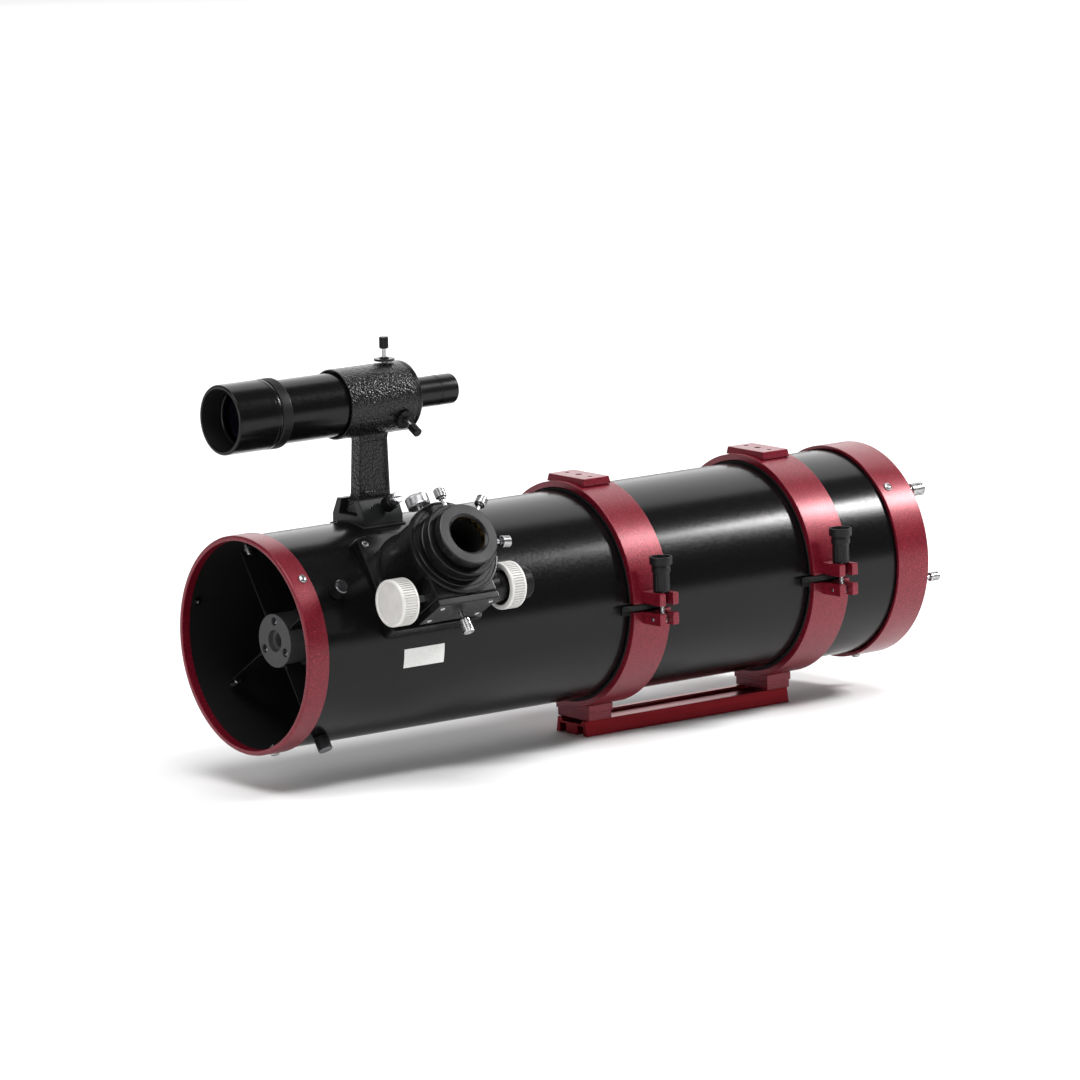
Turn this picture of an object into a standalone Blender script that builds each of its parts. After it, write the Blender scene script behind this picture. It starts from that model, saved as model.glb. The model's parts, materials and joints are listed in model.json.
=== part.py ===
"""Optical tube of a 150 mm Newtonian reflector, in tube rings on a dovetail bar.

Frame: metres, +Z up. The origin is the middle of the dovetail bar's bottom face,
-X is the sky end, +X the mirror end, -Y the focuser side, and the finder is on top.
"""
from math import cos, pi, radians, sin

import bmesh
import bpy
from mathutils import Matrix, Vector

MM = 0.001
GAP = 0.3 * MM                    # air between two pieces that touch
THREAD_GAP = 0.3 * MM             # radial room of a screw in its hole
OVERSHOOT = 5.0 * MM              # how far a cutter reaches past what it cuts
WELD = 0.01 * MM                  # vertices nearer than this are one

# Facets of the round pieces, by size
TUBE_STEPS = 48
LARGE_STEPS = 28
MEDIUM_STEPS = 20
SMALL_STEPS = 8

# Dovetail bar
BAR_LENGTH = 226.6 * MM
BAR_HEIGHT = 13.26 * MM
BAR_BASE_HALF = 21.4 * MM         # half widths at the bottom and at the top
BAR_TOP_HALF = 19.5 * MM
BAR_LEG = 5.4 * MM                # outer legs, then a groove on each side of the rib
BAR_GROOVE = 7.6 * MM
BAR_GROOVE_DEPTH = 8.0 * MM
BAR_CHANNEL_HALF = 14.5 * MM      # shallow channel along the top
BAR_CHANNEL_DEPTH = 3.0 * MM
BAR_BOLT_HEAD_R = 5.6 * MM        # recesses for the two bolts that hold the rings
BAR_BOLT_HEAD_DEPTH = 6.0 * MM

# Optical tube
SKY_END_X = -459.6 * MM           # front face of the front ring
ASSEMBLY_LENGTH = 675.75 * MM     # front ring's face to rear ring's back
TUBE_ROOM = 16.0 * MM             # from the mirror's edge to the tube's outer surface
TUBE_WALL = 1.2 * MM

# Front and rear end rings
FRONT_RING_WIDTH = 21.0 * MM
FRONT_RING_WALL = 2.1 * MM
FRONT_RING_FACE = 3.0 * MM
FRONT_RING_EDGE = 1.0 * MM        # chamfer of the front edge
FRONT_LIP_WALL = 0.6 * MM
FRONT_LIP_DEPTH = 8.0 * MM
REAR_RING_WIDTH = 34.4 * MM
REAR_RING_WALL = 3.3 * MM
REAR_FLANGE = 5.0 * MM
REAR_FLANGE_INSIDE = 13.0 * MM    # flange inside the screws' circle

# Tube rings
RING_SPACING = 200.0 * MM
RING_OFFSET = 1.4 * MM            # middle of the ring pair, behind the bar's middle
RING_WIDTH = 40.0 * MM
RING_WALL = 7.5 * MM
SPLIT_UPPER = 3.0 * MM            # end faces at the clamp side, from the tube's axis
SPLIT_LOWER = -4.0 * MM
HINGE_SPLIT = 0.4 * MM            # end faces at the hinge side
EAR_REACH = 23.2 * MM             # how far the ears stand out of the ring
EAR_HALF = 10.4 * MM
EAR_HEIGHT = 10.5 * MM
FORK_HALF = 4.0 * MM
FORK_DEPTH = 18.0 * MM
HINGE_STANDOFF = 5.7 * MM         # hinge pin's axis outside the ring
KNUCKLE_R = 5.0 * MM
HINGE_WEB = 8.0 * MM              # height of the web that carries a knuckle
KNUCKLE_MIDDLE_HALF = 4.7 * MM
KNUCKLE_OUTER = 13.0 * MM
HINGE_PIN_R = 2.0 * MM
FOOT_HEIGHT = 11.5 * MM
FOOT_HALF_X = 12.5 * MM
FOOT_HALF_Y = 22.0 * MM
PAD_RISE = 4.0 * MM
PAD_HALF_X = 14.0 * MM
PAD_HALF_Y = 24.6 * MM
PAD_HOLE_R = 3.0 * MM
PAD_SIDE_HOLE_R = 2.2 * MM
PAD_SIDE_HOLE_Y = 16.0 * MM
PAD_HOLE_DEPTH = 6.0 * MM

# Clamp of each tube ring: a swing bolt in the lower ear and a knob on the upper one
CLAMP_STANDOFF = 12.7 * MM        # bolt's axis outside the ring
CLAMP_PIN_DROP = 5.5 * MM         # pin's axis under the lower ear's top
CLAMP_PIN_R = 1.5 * MM
CLAMP_EYE_R = 4.3 * MM
CLAMP_BOLT_R = 2.5 * MM
CLAMP_BOLT_IN_KNOB = 13.0 * MM
CLAMP_BORE_ROOM = 2.3 * MM        # room round the bolt, for the knob lifts in an arc
CLAMP_BORE_END = 6.0 * MM
KNOB_R = 8.5 * MM
KNOB_COLLAR_R = 10.0 * MM
KNOB_COLLAR_HEIGHT = 7.5 * MM
KNOB_COLLAR_FLARE = 1.5 * MM
KNOB_HEIGHT = 30.5 * MM
KNOB_HOLLOW_R = 7.6 * MM
KNOB_HOLLOW_DEPTH = 6.0 * MM

# Primary mirror and its cell
MIRROR_R = 75.0 * MM
MIRROR_EDGE = 25.0 * MM
FOCAL_LENGTH = 750.0 * MM
MIRROR_BACK = 25.75 * MM          # mirror's back, in front of the rear ring's back
CELL_FLOOR_GAP = 2.0 * MM
CELL_PLATE = 6.0 * MM
CELL_PLATE_ROOM = 3.3 * MM        # from the plate's edge to the tube's wall
CELL_RIM_WALL = 3.0 * MM
CELL_RIM_HEIGHT = 18.0 * MM
CELL_HUB_HOLE_R = 18.0 * MM
CELL_VENT_R = 13.0 * MM
CELL_VENT_CIRCLE = 44.0 * MM
CLIP_HALF = 5.0 * MM
CLIP_WALL = 1.6 * MM
CLIP_REACH = 3.0 * MM
CLIP_POST_IN = 0.5 * MM           # clip's post behind the rim's inner face
COLLIMATION_INSET = 8.0 * MM      # screws' circle inside the plate's edge
COLLIMATION_START = 45.0          # degrees up from the focuser side
LOCK_START = 105.0
COLLIMATION_SHANK_R = 2.5 * MM
COLLIMATION_HEAD_R = 5.8 * MM
COLLIMATION_HEAD = 14.0 * MM
COLLIMATION_NECK_R = 4.2 * MM
COLLIMATION_NECK = 9.0 * MM
COLLIMATION_SOCKET_DEPTH = 4.5 * MM
COLLIMATION_SOCKET_ROOM = 0.8 * MM
COLLIMATION_TIP_GAP = 1.6 * MM
COLLIMATION_WASHER_R = 7.0 * MM
COLLIMATION_WASHER = 3.0 * MM
LOCK_SHANK_R = 2.0 * MM
LOCK_HEAD_R = 4.0 * MM
LOCK_HEAD = 10.0 * MM
LOCK_NECK = 16.0 * MM
LOCK_TIP_GAP = 1.4 * MM

# Spider and secondary mirror
SPIDER_X = 32.4 * MM              # hub's front face, from the sky end
HUB_R = 22.9 * MM
HUB_LENGTH = 19.6 * MM
HUB_MOUTH_R = 9.25 * MM
HUB_MOUTH_DEPTH = 5.0 * MM
HUB_BORE_R = 6.2 * MM
HUB_BORE_DEPTH = 13.6 * MM
VANE_START = 33.0                 # degrees up from the focuser side
VANE_THICKNESS = 0.8 * MM
VANE_WIDTH = 16.0 * MM
VANE_IN_HUB = 3.0 * MM
VANE_X = 41.0 * MM                # middle of the vanes, from the sky end
VANE_BOSS_R = 3.2 * MM
VANE_BOSS_LENGTH = 7.0 * MM
VANE_END_GAP = 2.9 * MM
VANE_KNOB_R = 6.25 * MM
VANE_KNOB_LENGTH = 13.0 * MM
VANE_LOW_KNOB_LENGTH = 6.0 * MM    # of the two knobs on the side away from the focuser
VANE_SCREW_R = 2.0 * MM
FOCUSER_X = 127.5 * MM            # focuser axis and secondary mirror, from the sky end
SECONDARY_R = 25.0 * MM
SECONDARY_THICKNESS = 8.5 * MM    # along the tube's axis
SECONDARY_GLUE = 0.5 * MM
HOLDER_R = 24.0 * MM
HOLDER_X = 60.0 * MM              # holder's front face, from the sky end
HOLDER_BORE_DEPTH = 8.0 * MM
CENTRE_BOLT_R = 3.0 * MM
CENTRE_BOLT_HEAD_R = 5.5 * MM
CENTRE_BOLT_HEAD = 4.0 * MM
CENTRE_BOLT_TIP_GAP = 2.0 * MM
TILT_SCREW_CIRCLE = 16.7 * MM
TILT_SCREW_R = 2.0 * MM
TILT_SCREW_HEAD_R = 3.5 * MM
TILT_SCREW_HEAD = 2.6 * MM
TILT_SCREW_RECESS = 3.4 * MM
TILT_SCREW_TIP_GAP = 1.2 * MM

# Focuser, in its own frame: X along the tube, Y across, Z outwards from the tube's axis
FOCUSER_ANGLE = 33.13             # degrees up from the focuser side
SADDLE_EDGE_X = 8.0 * MM          # saddle round the housing
SADDLE_EDGE_Y = 5.0 * MM
SADDLE_SKIRT = 25.0 * MM          # how far it can reach down the tube's sides
SADDLE_TOP = 4.0 * MM             # saddle's flat top above the tube's surface
HOUSING_WALL = 8.9 * MM
HOUSING_HEIGHT = 63.0 * MM        # from the tube's surface to the housing's end
HOUSING_FLANGE_OUT = 2.8 * MM
HOUSING_FLANGE = 7.0 * MM
DRAWTUBE_R = 30.0 * MM
DRAWTUBE_WALL = 4.3 * MM
DRAWTUBE_GAP = 0.6 * MM
DRAWTUBE_INSIDE = 5.0 * MM        # how far it reaches inside the tube's surface
COLLAR_OUT = 3.1 * MM             # collar outside the drawtube
COLLAR_HEIGHT = 13.5 * MM
COLLAR_CHAMFER = 1.2 * MM
COLLAR_SCREW_ANGLES = (90.0, -7.0)
ADAPTER_OUT = 2.2 * MM            # adapter's head outside the drawtube's bore
ADAPTER_HEIGHT = 10.4 * MM
ADAPTER_BARREL = 24.0 * MM
ADAPTER_BORE_R = 16.5 * MM
ADAPTER_NECK = 2.0 * MM
ADAPTER_NECK_IN = 1.4 * MM
ADAPTER_CHAMFER = 0.6 * MM
ADAPTER_SCREW_ANGLE = 45.0
THUMB_STEM_R = 2.0 * MM
THUMB_HEAD_R = 4.9 * MM
THUMB_HEAD = 8.0 * MM
THUMB_NECK = 9.0 * MM             # bare stem under the head
COLLAR_SCREW_HEIGHT = 8.2 * MM    # above the housing's end
ADAPTER_SCREW_HEIGHT = 5.2 * MM   # under the adapter's face
AXLE_R = 3.0 * MM
AXLE_IN_KNOB = 8.0 * MM
AXLE_HEIGHT = 42.0 * MM           # above the tube's surface
BLOCK_HALF_X = 18.0 * MM
BLOCK_HALF_Z = 13.0 * MM
BLOCK_COVER_FRONT = 35.0 * MM     # cover's ends, from the focuser's axis
BLOCK_COVER_REAR = 28.0 * MM
BLOCK_COVER_HALF_Z = 18.0 * MM
BLOCK_COVER = 6.7 * MM
BOSS_OUT = 0.4 * MM               # boss for the block, outside the housing's flange
BLOCK_DRAWTUBE_GAP = 1.0 * MM
NECK_R = 8.0 * MM
SLEEVE_R = 13.5 * MM
SLEEVE_START = 24.3 * MM
SLEEVE_END = 49.0 * MM
COARSE_R = 20.0 * MM
COARSE_LEFT_START = 52.5 * MM
COARSE_LEFT_WIDTH = 17.5 * MM
COARSE_RIGHT_START = 44.3 * MM
COARSE_RIGHT_WIDTH = 15.7 * MM
COARSE_HOLLOW_R = 15.6 * MM
COARSE_HOLLOW = 10.0 * MM
FINE_R = 13.7 * MM
FINE_WIDTH = 12.2 * MM
FINE_STUB = 2.6 * MM
FINE_STUB_R = 2.5 * MM
DRIVE_KNOB_EDGE = 1.0 * MM
LOCK_KNOB_R = 10.0 * MM
LOCK_KNOB_WIDTH = 10.0 * MM
LOCK_KNOB_NECK = 9.5 * MM         # bare stem outside the housing
LOCK_KNOB_STEM_R = 3.0 * MM
TENSION_HEAD_R = 5.0 * MM
TENSION_HEAD = 12.0 * MM
TENSION_STEM = 7.0 * MM
TENSION_IN_BLOCK = 5.5 * MM
PRESS_HEIGHT = 39.0 * MM          # lock knob and tension screw, above the tube's surface

# Finder: lengths from the sky end
FINDER_RISE = 102.5 * MM          # above the tube's crown
SHOE_FRONT = 113.0 * MM
SHOE_LENGTH = 41.0 * MM
SHOE_HALF = 22.5 * MM
SHOE_SKIRT = 9.0 * MM             # how far it can reach down the tube's sides
SHOE_SIDE = 6.0 * MM              # upright side, above the tube's crown
SHOE_TOP = 20.0 * MM
SHOE_TOP_HALF = 15.5 * MM
CHANNEL_FLOOR = 7.0 * MM
CHANNEL_FLOOR_HALF = 13.0 * MM
CHANNEL_MOUTH_HALF = 9.0 * MM
FOOT_TOP = 18.5 * MM              # bracket's foot, above the tube's crown
FOOT_FRONT = 118.0 * MM
STALK_IN_FOOT = 2.0 * MM
STALK_HALF = 6.75 * MM
STALK_FRONT_LOW = 120.0 * MM
STALK_REAR_LOW = 153.4 * MM
STALK_FRONT_HIGH = 123.5 * MM
STALK_REAR_HIGH = 152.0 * MM
BRACKET_FRONT = 99.0 * MM
BRACKET_REAR = 173.0 * MM
BRACKET_ROOM = 1.3 * MM           # between the finder and its bracket
BRACKET_WALL = 1.5 * MM
BRACKET_SCREW_X = 155.6 * MM
BRACKET_NUT_R = 9.0 * MM
BRACKET_NUT = 2.0 * MM
BRACKET_NUT_GAP = 1.6 * MM
BRACKET_SCREW_HEAD_R = 4.0 * MM
BRACKET_SCREW_HEAD = 10.0 * MM
BRACKET_SCREW_NECK = 8.5 * MM
BRACKET_SCREW_TIP_GAP = 1.6 * MM
SHOE_SCREW_X = 137.0 * MM
SHOE_SCREW_Y = -17.0 * MM         # a point on the screw's axis, and its slope
SHOE_SCREW_Z = 11.5 * MM          # above the tube's crown
SHOE_SCREW_SLOPE = 28.6           # degrees above level
SHOE_SCREW_STEM_R = 2.2 * MM
SHOE_SCREW_IN = 4.0 * MM
SHOE_SCREW_HOLE_PAST = 3.0 * MM   # hole's end, past the screw's tip
SHOE_SCREW_BODY_START = 6.5 * MM
SHOE_SCREW_BODY = 11.5 * MM
SHOE_SCREW_BODY_R = 6.5 * MM
SHOE_SCREW_HEAD = 7.5 * MM
SHOE_SCREW_HEAD_R = 5.0 * MM
FINDER_R = 27.1 * MM
FINDER_WALL = 3.3 * MM
FINDER_WAIST_R = 20.0 * MM
FINDER_WAIST_WALL = 2.5 * MM
FINDER_FRONT = 14.0 * MM
FINDER_TAPER_START = 112.0 * MM
FINDER_TAPER_END = 125.0 * MM
FINDER_REAR = 175.0 * MM
O_RING_X = 104.0 * MM
O_RING_WIDTH = 3.4 * MM
O_RING_GROOVE = 4.8 * MM
O_RING_GROOVE_DEPTH = 1.6 * MM
SHADE_FRONT = -16.4 * MM
SHADE_REAR = 28.0 * MM
SHADE_OUT = 2.7 * MM              # shade's outer and inner faces, from the tube's
SHADE_IN = 0.8 * MM
LENS_X = 6.0 * MM
LENS_EDGE = 4.0 * MM
LENS_BULGE = 2.0 * MM
LENS_BACK_BULGE = 1.0 * MM
LOCK_RING_OUT = 2.9 * MM
LOCK_RING_WIDTH = 9.7 * MM
EYEPIECE_R = 13.1 * MM
EYEPIECE_REAR = 224.8 * MM
EYEPIECE_RECESS_R = 8.5 * MM
EYEPIECE_RECESS = 5.0 * MM
EYEPIECE_SPIGOT = 8.0 * MM

# Worked-out sizes
TUBE_R = MIRROR_R + TUBE_ROOM
RING_BORE_R = TUBE_R + GAP
RING_R = RING_BORE_R + RING_WALL
AXIS_Z = BAR_HEIGHT + GAP + FOOT_HEIGHT + RING_R
TUBE_BORE_R = TUBE_R - TUBE_WALL
HINGE_Y = RING_R + HINGE_STANDOFF
CLAMP_Y = -(RING_R + CLAMP_STANDOFF)
CLAMP_PIN_Z = SPLIT_LOWER - CLAMP_PIN_DROP
KNOB_BASE_Z = SPLIT_UPPER + EAR_HEIGHT + GAP
REAR_END = ASSEMBLY_LENGTH
MIRROR_BACK_X = REAR_END - MIRROR_BACK
CELL_FRONT_X = MIRROR_BACK_X + CELL_FLOOR_GAP
CELL_BACK_X = CELL_FRONT_X + CELL_PLATE
CELL_PLATE_R = TUBE_BORE_R - CELL_PLATE_ROOM
COLLIMATION_CIRCLE = CELL_PLATE_R - COLLIMATION_INSET
REAR_OPENING_R = COLLIMATION_CIRCLE - REAR_FLANGE_INSIDE
HOUSING_END = TUBE_R + HOUSING_HEIGHT
HOUSING_BORE_R = DRAWTUBE_R + DRAWTUBE_GAP
HOUSING_R = HOUSING_BORE_R + HOUSING_WALL
HOUSING_FLANGE_R = HOUSING_R + HOUSING_FLANGE_OUT
BOSS_DEPTH = HOUSING_FLANGE_R + BOSS_OUT
DRAWTUBE_BORE_R = DRAWTUBE_R - DRAWTUBE_WALL
COLLAR_R = DRAWTUBE_R + COLLAR_OUT
COLLAR_START = HOUSING_END + GAP
COLLAR_END = COLLAR_START + COLLAR_HEIGHT
ADAPTER_R = DRAWTUBE_BORE_R + ADAPTER_OUT
ADAPTER_START = COLLAR_END + GAP
ADAPTER_END = ADAPTER_START + ADAPTER_HEIGHT
AXLE_Y = -(DRAWTUBE_R + GAP + AXLE_R)
AXLE_Z = TUBE_R + AXLE_HEIGHT
PRESS_Z = TUBE_R + PRESS_HEIGHT
FINDER_Z = TUBE_R + FINDER_RISE
BRACKET_BORE_R = FINDER_R + BRACKET_ROOM
O_RING_GROOVE_R = FINDER_R - O_RING_GROOVE_DEPTH
FINDER_WAIST_BORE_R = FINDER_WAIST_R - FINDER_WAIST_WALL
SHADE_BORE_R = FINDER_R - SHADE_IN

# Colour, metallic and roughness of each finish
FINISHES = {
    "crimson_powder_coat": ((0.36, 0.012, 0.040), 0.55, 0.42),
    "red_anodised": ((0.24, 0.006, 0.012), 0.75, 0.35),
    "gloss_black": ((0.006, 0.006, 0.007), 0.0, 0.12),
    "satin_black": ((0.016, 0.016, 0.018), 0.4, 0.35),
    "matt_black": ((0.012, 0.012, 0.012), 0.0, 0.75),
    "hammered_black": ((0.014, 0.014, 0.014), 0.3, 0.40),
    "black_plastic": ((0.016, 0.016, 0.017), 0.0, 0.45),
    "white_satin": ((0.80, 0.79, 0.77), 0.0, 0.35),
    "chrome": ((0.78, 0.78, 0.79), 1.0, 0.14),
    "steel": ((0.55, 0.55, 0.56), 1.0, 0.30),
    "mirror_glass": ((0.85, 0.87, 0.88), 1.0, 0.03),
    "lens_glass": ((0.30, 0.35, 0.62), 0.0, 0.04),
    "rubber": ((0.020, 0.020, 0.020), 0.0, 0.65),
}

UP = (0.0, 0.0, 1.0)
REARWARDS = (1.0, 0.0, 0.0)


def clear_scene():
    for obj in list(bpy.data.objects):
        bpy.data.objects.remove(obj, do_unlink=True)


def new_collection(name):
    collection = bpy.data.collections.new(name)
    bpy.context.scene.collection.children.link(collection)
    return collection


clear_scene()
PARTS = new_collection("newtonian_reflector_telescope")
TOOLS = new_collection("cutters_and_joined_shapes")


def aim(axis, across=None):
    """Rotation that turns local Z to axis, with local X as near across as it can be."""
    z = Vector(axis).normalized()
    if across is None:
        across = UP if abs(z.z) < 0.9 else REARWARDS
    x = Vector(across)
    x = (x - z * x.dot(z)).normalized()
    return Matrix((x, z.cross(x), z)).transposed().to_quaternion()


def place(obj, parent, location=(0, 0, 0), axis=UP, across=None):
    """Put a new shape among the tools; part() makes it a piece of the object."""
    TOOLS.objects.link(obj)
    obj.parent = parent
    obj.location = location
    obj.rotation_mode = "QUATERNION"
    obj.rotation_quaternion = aim(axis, across)
    obj.hide_render = True
    obj.display_type = "WIRE"
    return obj


def part(obj, finish):
    """Make a shape a named piece, with a material of its own."""
    color, metallic, roughness = FINISHES[finish]
    material = bpy.data.materials.new(f"{obj.name}_{finish}")
    material.use_nodes = True
    shader = material.node_tree.nodes["Principled BSDF"]
    shader.inputs["Base Color"].default_value = (*color, 1.0)
    shader.inputs["Metallic"].default_value = metallic
    shader.inputs["Roughness"].default_value = roughness
    obj.data.materials.append(material)
    TOOLS.objects.unlink(obj)
    PARTS.objects.link(obj)
    obj.hide_render = False
    obj.display_type = "TEXTURED"
    return obj


def frame(name, location, parent=None, x_turn=0.0):
    """Empty that holds the pieces on one axis."""
    empty = bpy.data.objects.new(name, None)
    PARTS.objects.link(empty)
    empty.parent = parent
    empty.location = location
    empty.rotation_euler = (x_turn, 0, 0)
    empty.empty_display_size = 20 * MM
    return empty


def turned(name, profile, steps, *where):
    """Shape turned about its local Z from (radius, height) points, in either order."""
    pairs = list(zip(profile, profile[1:] + profile[:1]))
    if sum(a[0] * b[1] - b[0] * a[1] for a, b in pairs) > 0:
        profile = profile[::-1]
    count = len(profile)
    edges = [(i, i + 1) for i in range(count - 1)]
    if min(radius for radius, _ in profile) > 0:
        edges.append((count - 1, 0))
    mesh = bpy.data.meshes.new(name)
    mesh.from_pydata([(radius, 0, height) for radius, height in profile], edges, [])
    obj = place(bpy.data.objects.new(name, mesh), *where)
    screw = obj.modifiers.new("turn", "SCREW")
    screw.axis = "Z"
    screw.angle = 2 * pi
    screw.steps = screw.render_steps = steps
    screw.use_merge_vertices = True
    screw.merge_threshold = WELD
    screw.use_smooth_shade = False
    return obj


def mesh_object(name, form, *where):
    mesh = bpy.data.meshes.new(name)
    form.to_mesh(mesh)
    form.free()
    return place(bpy.data.objects.new(name, mesh), *where)


def rod(name, radius, low, high, steps, *where):
    """Cylinder on local Z, from height low to height high."""
    form = bmesh.new()
    bmesh.ops.create_cone(form, cap_ends=True, segments=steps,
                          radius1=radius, radius2=radius, depth=high - low)
    bmesh.ops.translate(form, vec=(0, 0, (low + high) / 2), verts=form.verts)
    return mesh_object(name, form, *where)


def block(name, low, high, *where):
    """Box between two opposite corners."""
    form = bmesh.new()
    bmesh.ops.create_cube(form, size=1.0)
    size = [b - a for a, b in zip(low, high)]
    middle = [(a + b) / 2 for a, b in zip(low, high)]
    bmesh.ops.scale(form, vec=size, verts=form.verts)
    bmesh.ops.translate(form, vec=middle, verts=form.verts)
    return mesh_object(name, form, *where)


def prism(name, outline, low, high, parent):
    """Outline in (Y, Z), closed and extruded along X from low to high."""
    curve = bpy.data.curves.new(name + "_outline", "CURVE")
    curve.dimensions = "2D"
    curve.fill_mode = "BOTH"
    curve.extrude = (high - low) / 2
    spline = curve.splines.new("POLY")
    spline.points.add(len(outline) - 1)
    for point, (y, z) in zip(spline.points, outline):
        point.co = (y, z, 0, 1)
    spline.use_cyclic_u = True
    drawn = bpy.data.objects.new(name + "_outline", curve)
    TOOLS.objects.link(drawn)
    mesh = bpy.data.meshes.new_from_object(
        drawn.evaluated_get(bpy.context.evaluated_depsgraph_get()))
    bpy.data.objects.remove(drawn, do_unlink=True)
    form = bmesh.new()
    form.from_mesh(mesh)
    bmesh.ops.remove_doubles(form, verts=form.verts, dist=WELD)
    bmesh.ops.recalc_face_normals(form, faces=form.faces)
    turn = Matrix(((0, 0, 1, (low + high) / 2), (1, 0, 0, 0), (0, 1, 0, 0), (0, 0, 0, 1)))
    bmesh.ops.transform(form, matrix=turn, verts=form.verts)
    bpy.data.meshes.remove(mesh)
    return mesh_object(name, form, parent)


def combine(target, tool, operation):
    modifier = target.modifiers.new(tool.name, "BOOLEAN")
    modifier.object = tool
    modifier.operation = operation
    modifier.solver = "EXACT"


def cut(target, *tools):
    for tool in tools:
        combine(target, tool, "DIFFERENCE")


def join(target, *tools):
    for tool in tools:
        combine(target, tool, "UNION")


def around(radius, degrees, x=0.0):
    """Point round a lengthwise axis, from the focuser side (-Y) upwards."""
    angle = radians(degrees)
    return Vector((x, -radius * cos(angle), radius * sin(angle)))


def three_angles(start):
    return [start + 120.0 * i for i in range(3)]


# ---------------------------------------------------------------- bar and tube rings

def dovetail_bar():
    """Bar that a mount's saddle clamps: two legs, a rib between grooves, a top channel."""
    outer = BAR_BASE_HALF - BAR_LEG
    inner = outer - BAR_GROOVE
    half = [(inner, 0), (inner, BAR_GROOVE_DEPTH), (outer, BAR_GROOVE_DEPTH), (outer, 0),
            (BAR_BASE_HALF, 0), (BAR_TOP_HALF, BAR_HEIGHT),
            (BAR_CHANNEL_HALF, BAR_HEIGHT), (BAR_CHANNEL_HALF, BAR_HEIGHT - BAR_CHANNEL_DEPTH)]
    outline = half + [(-y, z) for y, z in reversed(half)]
    bar = prism("dovetail_bar", outline, -BAR_LENGTH / 2, BAR_LENGTH / 2, None)
    for x in ring_places():
        cut(bar, rod("bar_bolt_recess", BAR_BOLT_HEAD_R, -OVERSHOOT, BAR_BOLT_HEAD_DEPTH,
                     SMALL_STEPS, None, (x, 0, 0)))
    part(bar, "red_anodised")


def ring_places():
    return (RING_OFFSET - RING_SPACING / 2, RING_OFFSET + RING_SPACING / 2)


def ring_band(name, axis):
    half = RING_WIDTH / 2
    profile = [(RING_R, half), (RING_R, -half), (RING_BORE_R, -half), (RING_BORE_R, half)]
    return turned(name, profile, TUBE_STEPS, axis, (0, 0, 0), REARWARDS)


def split_cutters(name, axis, clamp_z, hinge_z, side):
    """Boxes that take one half of a ring away: side 1 clears above, -1 below."""
    far = 2 * RING_R * side
    reach = RING_R + 2 * EAR_REACH
    clamp = sorted((clamp_z, far))
    hinge = sorted((hinge_z, far))
    return (block(name + "_clamp_side", (-RING_WIDTH, -reach, clamp[0]),
                  (RING_WIDTH, 0, clamp[1]), axis),
            block(name + "_hinge_side", (-RING_WIDTH, -OVERSHOOT, hinge[0]),
                  (RING_WIDTH, reach, hinge[1]), axis))


def fork_slot(name, axis, low, high):
    ear_end = RING_R + EAR_REACH
    return block(name, (-FORK_HALF, -ear_end - OVERSHOOT, low - OVERSHOOT),
                 (FORK_HALF, FORK_DEPTH - ear_end, high + OVERSHOOT), axis)


def cross_rod(name, radius, half, y, z, axis):
    return rod(name, radius, -half, half, SMALL_STEPS, axis, (0, y, z), REARWARDS)


def ring_lower(name, axis):
    """Lower half, with its foot on the bar, fork for the bolt and outer hinge knuckles."""
    ear_end = RING_R + EAR_REACH
    root = RING_R - RING_WALL / 2
    low = SPLIT_LOWER - EAR_HEIGHT
    half = ring_band(name, axis)
    join(half,
         block(name + "_ear", (-EAR_HALF, -ear_end, low), (EAR_HALF, -root, 0), axis),
         block(name + "_foot", (-FOOT_HALF_X, -FOOT_HALF_Y, -(RING_R + FOOT_HEIGHT)),
               (FOOT_HALF_X, FOOT_HALF_Y, -root), axis))
    for side in (-1, 1):
        inner, outer = sorted((side * (KNUCKLE_MIDDLE_HALF + GAP), side * KNUCKLE_OUTER))
        join(half, block(name + "_hinge_web", (inner, root, -HINGE_WEB),
                         (outer, HINGE_Y, 0), axis))
    cut(half, *split_cutters(name, axis, SPLIT_LOWER, -HINGE_SPLIT, 1))
    for side in (-1, 1):
        inner, outer = sorted((side * (KNUCKLE_MIDDLE_HALF + GAP), side * KNUCKLE_OUTER))
        join(half, rod(name + "_knuckle", KNUCKLE_R, inner, outer, SMALL_STEPS,
                       axis, (0, HINGE_Y, 0), REARWARDS))
    cut(half, fork_slot(name + "_slot", axis, low, SPLIT_LOWER),
        cross_rod(name + "_hinge_bore", HINGE_PIN_R + THREAD_GAP, RING_WIDTH, HINGE_Y, 0, axis),
        cross_rod(name + "_clamp_bore", CLAMP_PIN_R + THREAD_GAP, RING_WIDTH,
                  CLAMP_Y, CLAMP_PIN_Z, axis))
    return part(half, "crimson_powder_coat")


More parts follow.
